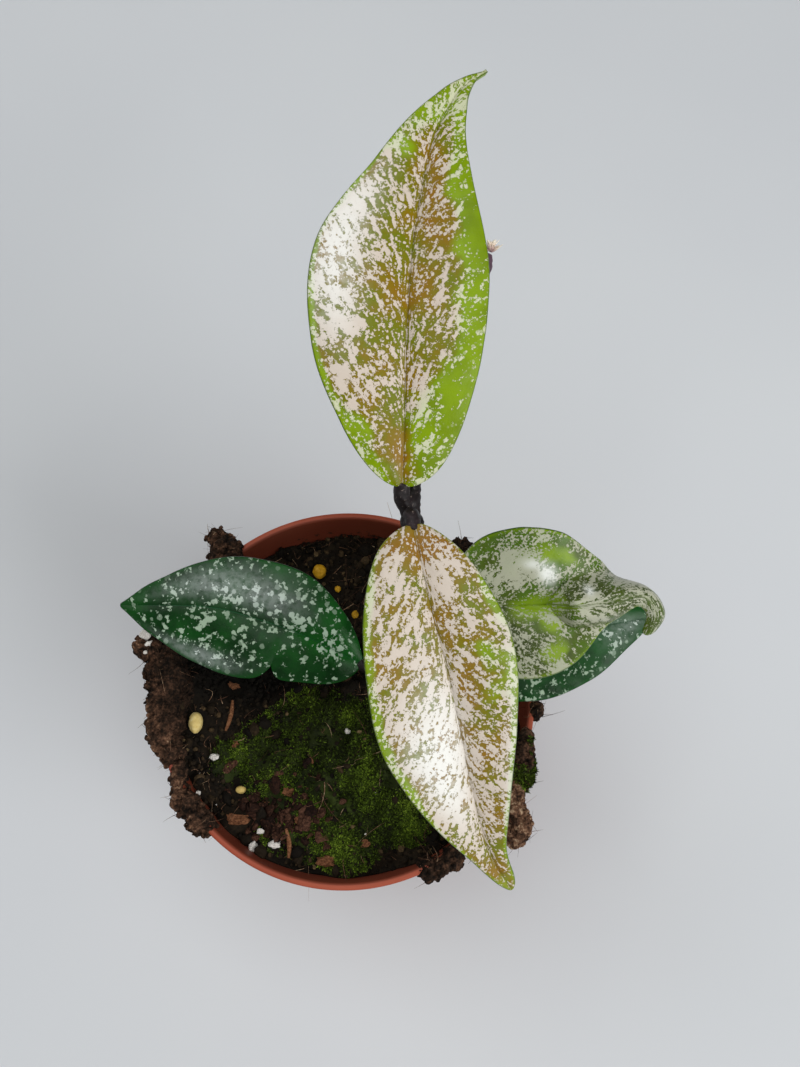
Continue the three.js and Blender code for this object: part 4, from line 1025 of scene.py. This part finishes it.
# Spilled peat: the lumps of the solids with crumbs pressed into them, fused into one skin and roughened. Each
# has its node, tone, roughness, number of crumbs and of hairs, and its lumps as centre and half sizes. The
# one with no node is a seam with moss on it, between the right moss patch and the hanging clump
clumps = {
    "spillLeft": ("peat_clump_left", 0.38, 1, 1900, 200, [
        (-50.5, 3, 91.8, 6.2, 14.2, 6), (-49.7, -9, 91, 5.6, 8.8, 5.5), (-55, 12.5, 94.5, 4.2, 4.2, 4.2),
        (-47.5, -2, 89, 4.2, 11.5, 4.2), (-47.8, -16, 91, 3.4, 4.5, 4)]),
    "spillFrontLeft": ("peat_clump_front_left", 0.34, 1, 650, 60, [
        (-44.3, -28.2, 91.2, 2.6, 3.2, 3), (-41.6, -31.4, 91.2, 3.2, 3.6, 3.4),
        (-39.6, -34.8, 91.6, 3.4, 3.4, 3.6), (-36.8, -36.4, 90.8, 2.4, 2.4, 2.6),
        (-45.2, -22.4, 91.4, 1.6, 4, 2), (-42.4, -29.6, 92.6, 2.2, 2.6, 2.4)]),
    "spillBackLeft": ("peat_clump_back_left", 0.28, 1, 600, 90, [
        (-35.3, 40.6, 92.3, 4.8, 4.4, 4), (-38, 44.6, 93, 3.2, 2.8, 3)]),
    "spillHanging": ("peat_clump_hanging", 0.62, 1, 1000, 90, [
        (45.6, -26, 91.5, 3.4, 4.6, 4), (46.9, -35, 87.5, 4.2, 6.4, 6), (45.8, -30, 90, 3.4, 5.4, 4.4)]),
    "spillRim": ("", 0.3, 1, 500, 40, [
        (49.2, -14.2, 92.6, 2, 3.4, 1.9), (49.2, -18.6, 92.9, 2.5, 3.4, 2.4),
        (47.9, -23.2, 92.8, 2.6, 3.2, 2.6)]),
    "spillFrontRight": ("peat_clump_front_right", 0.16, 1, 600, 60, [
        (23.5, -46.6, 91, 4.6, 3, 3), (28.5, -44.6, 91, 3.8, 2.9, 2.8)]),
    "crumbFront": ("peat_crumb_front", 0.3, 0.6, 200, 24, [(35, -41, 92.5, 2.7, 2.7, 2.4)]),
    "crumbRight": ("peat_crumb_right", 0.2, 0.8, 130, 40, [
        (52.9, -5.2, 91.6, 1.2, 2.2, 2), (53, -3.6, 92.4, 0.8, 1.3, 1.2)]),
    "crumbBack": ("peat_crumb_back", 0.2, 0.6, 200, 24, [(33, 42, 92.6, 3.2, 2.7, 2.4)]),
}
spill = {
    "voxel": 0.27, "core": 0.88, "crumbSize": (0.2, 0.75), "hairLength": (0.6, 4.2),
    "hairThickness": (0.045, 0.1), "seamShoots": 260,
}


# The skin moves out and in by noise of three sizes, and in where a grain is pressed into it. Hairs grow on it
def makeSpill(name, node, tone, rough, crumbCount, hairCount, lumps, seed):
    draw = np.random.default_rng(seed)
    centres, sizes = np.hsplit(np.array(lumps, float), 2)
    core = manyOf(unitBall(4), centres, sizes * spill["core"], None, 0.12, seed)
    owner = draw.choice(len(centres), crumbCount, p=sizes.prod(1) / sizes.prod(1).sum())
    outward = unit(draw.normal(size=(crumbCount, 3)))
    radius = draw.uniform(*spill["crumbSize"], crumbCount)
    sunk = radius[:, None] * draw.uniform(-0.6, 0.7, (crumbCount, 1))
    places = centres[owner] + outward * (spill["core"] * sizes[owner] + sunk)
    crumbs = dentedBalls(draw, 2, places, radius, (0.4, 1.6), 0.5, seed + 1)
    points, faces, normals = fused(*joined([core, crumbs]), spill["voxel"])
    rise = 0.75 * (0.3 - np.abs(roughNoise(points, 1.5, 2, seed + 2)))
    rise = rise + roughNoise(points, 4.2, 2, seed + 5) + 0.22 * roughNoise(points, 0.7, 2, seed + 6)
    middles = np.array([box.mean(0) for box in grainBoxes])
    spans = np.array([np.ptp(box, axis=0).max() for box in grainBoxes])
    nearest = (np.linalg.norm(points[:, None] - middles, axis=2) / (0.5 * spans + 0.8)).min(1)
    rise = rise * rough - 1.6 * np.exp(-(nearest**2))
    points = points + rise[:, None] * normals
    # Painted shade: the tint is darker towards the pot's middle and under the left leaf
    paintedShade = smoothStep(54, 46, np.hypot(points[:, 0], points[:, 1])) + paintedLeafShadow(points[:, 0], points[:, 1])
    # The tint follows the rise: darker in the hollows and round pressed-in grains, lighter on the bumps, as
    # painted shade and light
    tint = tone + 0.16 * rise + 0.34 * roughNoise(points, 1.6, 3, seed + 3)
    skin = meshFrom(name, points, [faces], {"tint": np.clip(tint * (1 - 0.45 * paintedShade), 0, 1)})
    addPiece(skin, dryPeat, "spilled_peat", [node] if node else [])
    if not node:
        mossy = roughNoise(points, 3.0, 2, seed + 7) > 0.12 * (points[:, 1] + 18)
        rooted = np.flatnonzero(mossy & (normals[:, 2] > 0.1))
        roots = points[draw.choice(rooted, spill["seamShoots"])] - [0, 0, 0.3]
        addPiece(shootsOn(name + "Moss", roots, 0.3 * draw.normal(size=len(roots)), draw), livingMoss, "moss")
    upward = np.maximum(normals[:, 2] + 0.7, 0)
    start = draw.choice(len(points), hairCount, p=upward / upward.sum())
    sideways = draw.normal(size=(hairCount, 3))
    sideways = unit(sideways - (sideways * normals[start]).sum(1)[:, None] * normals[start])
    lengths = spill["hairLength"][0] + np.ptp(spill["hairLength"]) * draw.random(hairCount) ** 3
    return makeFibres(
        name + "Hairs", points[start] - 0.3 * normals[start], unit(0.35 * normals[start] + sideways), lengths,
        draw.uniform(*spill["hairThickness"], hairCount), 0.3, seed + 4, (0.1, 0.85))


for index, (name, clump) in enumerate(clumps.items()):
    addPiece(makeSpill(name, *clump, 101 + 10 * index), dryPeat, "spilled_peat")


# Grains: a ball dented by noise, stretched to the box of the solid that it stands for, then to its own size
grains = {
    "yellow_prill": {"dents": 0.14, "sizes": (1.35, 0.8, 0.9)},
    "cream_prill": {"dents": 0.08, "sizes": (1, 0.75), "tints": (0.5, 0.1)},
    "perlite": {"dents": 0.35, "sizes": (1,) * 6},
    "bark_chip": {"slot": "bark", "dents": 0.7, "level": 3, "sizes": (1,) * 6, "corners": 0.6},
}
# Colours from dark to light, mottle, roughness, size of the mottle in mm, strength of the relief
grainFinishes = {
    "yellow_prill": ("coated_fertiliser", ("#8E6410", "#B98A1C", "#D2A63A"), 0.3, 0.42, 1.2, 0.15),
    "cream_prill": ("coated_fertiliser_pale", ("#BFA25C", "#D8C07A", "#EADBA8"), 0.3, 0.5, 1.4, 0.2),
    "perlite": ("expanded_perlite", ("#A9A39C", "#D6D0C8", "#F1EDE6"), 0.35, 0.9, 0.5, 0.8),
    "bark": ("conifer_bark", ("#2A170F", "#4E2F1E", "#7A5136", "#A07A58"), 0.3, 0.85, 0.6, 0.8),
    "clod": ("rotted_bark", ("#0A0604", "#170D09", "#2C1911", "#563A2C"), 0.3, 0.85, 0.6, 0.8),
}
grainMaterials = {key: crumbMaterial(*finish) for key, finish in grainFinishes.items()}
for kind, grain in grains.items():
    for index, size in enumerate(grain["sizes"]):
        node, slotName = f"{kind}_{index + 1}", grain.get("slot", kind)
        level = grain.get("level", 4)
        low, high = (np.array(corner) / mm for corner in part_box(node))
        ball, faces = unitBall(level)
        ball = np.sign(ball) * np.abs(ball) ** grain.get("corners", 1)
        swell = 1 + grain["dents"] * roughNoise(ball * 1.4 + index * 3.3, 1.0, 3, 201 + index)
        shape = ball * swell[:, None]
        shape = (shape - shape.min(0)) / np.ptp(shape, axis=0)
        points = low + shape * (high - low) * [1, 1, 1.15] - [0, 0, 0.15 * (high - low)[2]]
        seat = np.append((low + high)[:2] / 2, low[2])
        points = seat + (points - seat) * size
        tint = np.full(len(points), grain["tints"][index] if "tints" in grain else 0.5)
        name = "".join(word.capitalize() for word in kind.split("_")) + str(index + 1)
        mesh = meshFrom(name[0].lower() + name[1:], points, [faces], {"tint": tint}, smooth=level > 3)
        addPiece(mesh, grainMaterials[slotName], slotName, [node])


# Smaller bits of the same kinds: bark and its rotted clods near the front left wall, and perlite on the
# spilled peat and about. The placed ones are given as place and size
bitReach = 47
bitsOf = {
    "barkBits": {"look": "bark", "count": 110, "middle": (-21, -37), "reach": (13, 8), "sizes": (0.4, 1.3)},
    "perliteBits": {
        "look": "perlite", "count": 22, "middle": (-25, -25), "reach": (30, 30), "sizes": (0.12, 0.3),
        "placed": [(-55.8, 15.2, 97.6, 1.7), (-54.6, 12.6, 98.5, 1), (-55.6, 10.3, 98, 0.8),
                   (34.4, -41.6, 94.6, 0.9)]},
    "clodBits": {
        "look": "clod", "slot": "bark", "count": 2400, "middle": (-20, -34), "reach": (10, 8),
        "sizes": (0.3, 1.5)},
}
for index, (name, bits) in enumerate(bitsOf.items()):
    draw = np.random.default_rng(301 + index)

    # Falls off by the square of the distance from the middle, and is nothing where a grain lies
    def share(x, y):
        outX, outY = ((place - bits["middle"][k]) / bits["reach"][k] for k, place in enumerate((x, y)))
        return np.exp(-(outX**2 + outY**2)) * (nearGrain(x, y) < 0.5)

    x, y = (axis[:bits["count"]] for axis in scattered(draw, 3 * bits["count"], bitReach, share))
    radius = draw.uniform(*bits["sizes"], len(x))
    places = np.column_stack([x, y, groundTop(x, y) + 0.3 * radius])
    placed = np.array(bits.get("placed", []), float).reshape(-1, 4)
    places, radius = np.vstack([places, placed[:, :3]]), np.concatenate([radius, placed[:, 3]])
    points, faces = dentedBalls(draw, 2, places, radius, (0.3, 1.5), 0.75, 311 + index)
    tint = np.repeat(draw.uniform(0.35, 0.95, len(radius)), len(points) // len(radius))
    mesh = meshFrom(name, points, [faces], {"tint": tint}, smooth=False)
    addPiece(mesh, grainMaterials[bits["look"]], bits.get("slot", bits["look"]))


# Dry conifer needles on the peat, from one end to the other
needles = {"needle_left": ((-32.7, -1.2), (-34.4, -9.8)), "needle_front": ((-16.2, -36.5), (-15.3, -44.2))}
for name, ends in needles.items():
    k = np.linspace(0, 1, 24)
    x, y = (smoothCurve([end[axis] for end in ends], k)[..., 0] for axis in range(2))
    bow = 0.5 * np.sin(np.pi * k)
    paths = np.stack([x + bow, y, groundTop(x, y).max() + 0.3 - 0.6 * k], -1)[None]
    points, quads, fans = tubesAlong(paths, (0.35 + 0.3 * np.sin(np.pi * k))[None], 10)
    tint = np.full(len(points), 0.6)
    mesh = meshFrom(name.replace("_l", "L").replace("_f", "F"), points, [quads, fans], {"tint": tint})
    addPiece(mesh, grainMaterials["bark"], "bark", [name])


# Vine: a tube through its nodes, five leaf stalks, swollen nodes and root nubs, fused and lightly ridged
vine = {
    "radius": 2.1, "stalkRadius": 1.9, "nubRadius": 0.85, "voxel": 0.33,
    "path": [(9, 4, 62.2), (9, 4, 74), (9, 4, 87), (10.5, 5.5, 99), (12, 10.5, 113), (15, 16, 128),
             (16.5, 22.5, 142), (17.8, 30, 155), (18.5, 41, 157.5), (22.5, 55, 161), (29, 74, 164.5),
             (36, 93.5, 165.5)],
    "swell": [1, 1, 1.1, 1, 0.95, 0.95, 0.9, 0.95, 0.75, 0.65, 0.7, 1.1],
    "stalkSwell": [1.12, 0.95, 0.97, 0.95], "nodeSize": (2.7, 2.7, 2.3),
    "nodes": {"low": (10.5, 5.5, 99), "middle": (15, 16, 128), "top": (17.8, 30, 155)},
    "knot": (12.6, 17.2, 129), "knotSize": (1.5, 1.2, 1.3),
    "stalks": {"upperLeaf": "top", "lowerLeaf": "top", "curledLeaf": "middle",
               "darkLeafLeft": "low", "darkLeafRight": "low"},
    "nubs": [((16.5, 24, 146), (0.9, 0.3, -0.2), 3.2), ((18.8, 30.5, 152.5), (1, -0.1, 0.2), 1.2),
             ((12.5, 11.5, 116), (-0.8, 0.5, 0), 3.4), ((9.2, 4.4, 91), (-0.7, -0.7, 0), 3.4),
             ((14, 13.5, 123), (0.5, -0.9, -0.1), 3.2), ((18.6, 37.5, 157), (0.9, -0.3, -0.1), 1.3)],
}


# Stalks run from their node to a little inside their leaf, and the fused skin moves out and in by fine noise
def makeVine():
    k = np.linspace(0, 1, 150)
    swell = smoothCurve(vine["swell"], k)[..., 0] * (1 - 0.45 * smoothStep(0.98, 1, k) ** 2)
    parts = [tubesAlong(smoothCurve(vine["path"], k)[None], vine["radius"] * swell[None], 20)]
    for name, nodeName in vine["stalks"].items():
        point, along, _ = midline(leaves[name]["midrib"], np.array([0.0]))
        start, end = np.array(vine["nodes"][nodeName], float), point[0] + 1.2 * along[0] - [0, 0, 0.7]
        before = end - 3.6 * along[0]
        path = smoothCurve([start, start * 0.5 + before * 0.5, before, end], np.linspace(0, 1, 40))
        swell = smoothCurve(vine["stalkSwell"], np.linspace(0, 1, 40))[..., 0]
        parts.append(tubesAlong(path[None], vine["stalkRadius"] * swell[None], 18))
    for start, heading, length in vine["nubs"]:
        k = np.linspace(0, 1, 8)
        path = np.array(start) + length * k[:, None] * unit(np.array(heading, float))
        parts.append(tubesAlong(path[None], (vine["nubRadius"] - 0.45 * k**2)[None], 10))
    nodes = np.array([*vine["nodes"].values(), vine["knot"]], float)
    sizes = np.array([vine["nodeSize"]] * 3 + [vine["knotSize"]])
    parts.append(manyOf(unitBall(4), nodes, sizes, None, 0.08, 91))
    points, faces, normals = fused(*joined(parts), vine["voxel"])
    rise = 0.16 * roughNoise(points, 1.3, 3, 92) + 0.1 * roughNoise(points * [1, 1, 0.3], 0.8, 1, 93)
    return meshFrom("vineStem", points + rise[:, None] * normals, [faces])


# Young vine bark: near-black purple skin with a thin grey bloom and pale breathing specks
vineMaterial, add = startMaterial("young_vine_bark")
place = add("TexCoord", out="Object")
cloud = add("TexNoise", place, 1 / (5 * mm), 5, 0.6)
tone = add("ValToRGB", cloud, stops=[(0.35, "#0D0808"), (0.55, "#1A1112"), (0.75, "#34262A")])
toTip = add("VectorMath DISTANCE", place, np.array(vine["path"][-1]) * mm)
tone = add("Mix RGBA", add("MapRange", toTip, 9 * mm, 3 * mm), tone, "#573E4C")
speck = add("TexNoise", place, 1 / (0.7 * mm), 3, 0.6)
tone = add("Mix RGBA", add("MapRange", speck, 0.63, 0.7), tone, "#786A62")
endMaterial(vineMaterial, add, tone, 0.5, 0.25, 0.6, 0.15 * mm, speck)
addPiece(makeVine(), vineMaterial, "stem_skin", ["stem"])


# Growing tip: folded leaflets and a tuft of bud scales at the vine's end, cream with a pink flush
bud = {"start": (36.7, 94.6, 165.6), "scales": 26, "reach": (0.9, 2.5), "radius": (0.16, 0.42), "seed": 95}


# Two leaflets curve away from each other, and scales bow out from the same point and thin to their ends
def makeBud():
    draw = np.random.default_rng(bud["seed"])
    start = np.array(bud["start"])
    k = np.linspace(0, 1, 14)
    parts = []
    for lean in (1.0, -0.9):
        path = start + np.stack([lean * (0.5 * k + 0.5 * k**2), 1.9 * k, 1.9 * k], -1)
        width = 0.06 + 0.55 * np.sin(np.pi * np.clip(k * 0.9 + 0.1, 0, 1)) ** 0.8
        parts.append(tubesAlong(path[None], width[None], 14))
    heading = unit(np.array([0.25, 0.8, 0.55]) + 0.55 * draw.normal(size=(bud["scales"], 3)))
    reach = draw.uniform(*bud["reach"], bud["scales"])
    bend = 0.3 * draw.normal(size=(bud["scales"], 1, 3))
    paths = start + reach[:, None, None] * (heading[:, None] * k[:, None] + bend * k[:, None] ** 2)
    radii = draw.uniform(*bud["radius"], bud["scales"])[:, None] * (1 - k**2)[None] + 0.03
    parts.append(tubesAlong(paths, radii, 6))
    points, faceSets = joined(parts)
    return meshFrom("growingTip", points, faceSets, {"tint": np.linalg.norm(points - start, axis=1) / 2.6})


# Bud tissue: thin and downy, purple at its foot, pink and cream at its ends
budTissue = crumbMaterial("downy_bud", ("#5E4450", "#B99A94", "#E2CDBC", "#EFE4D2"), 0.12, 0.7, 0.6, 0.3)
addPiece(makeBud(), budTissue, "young_leaf", ["growing_tip"])
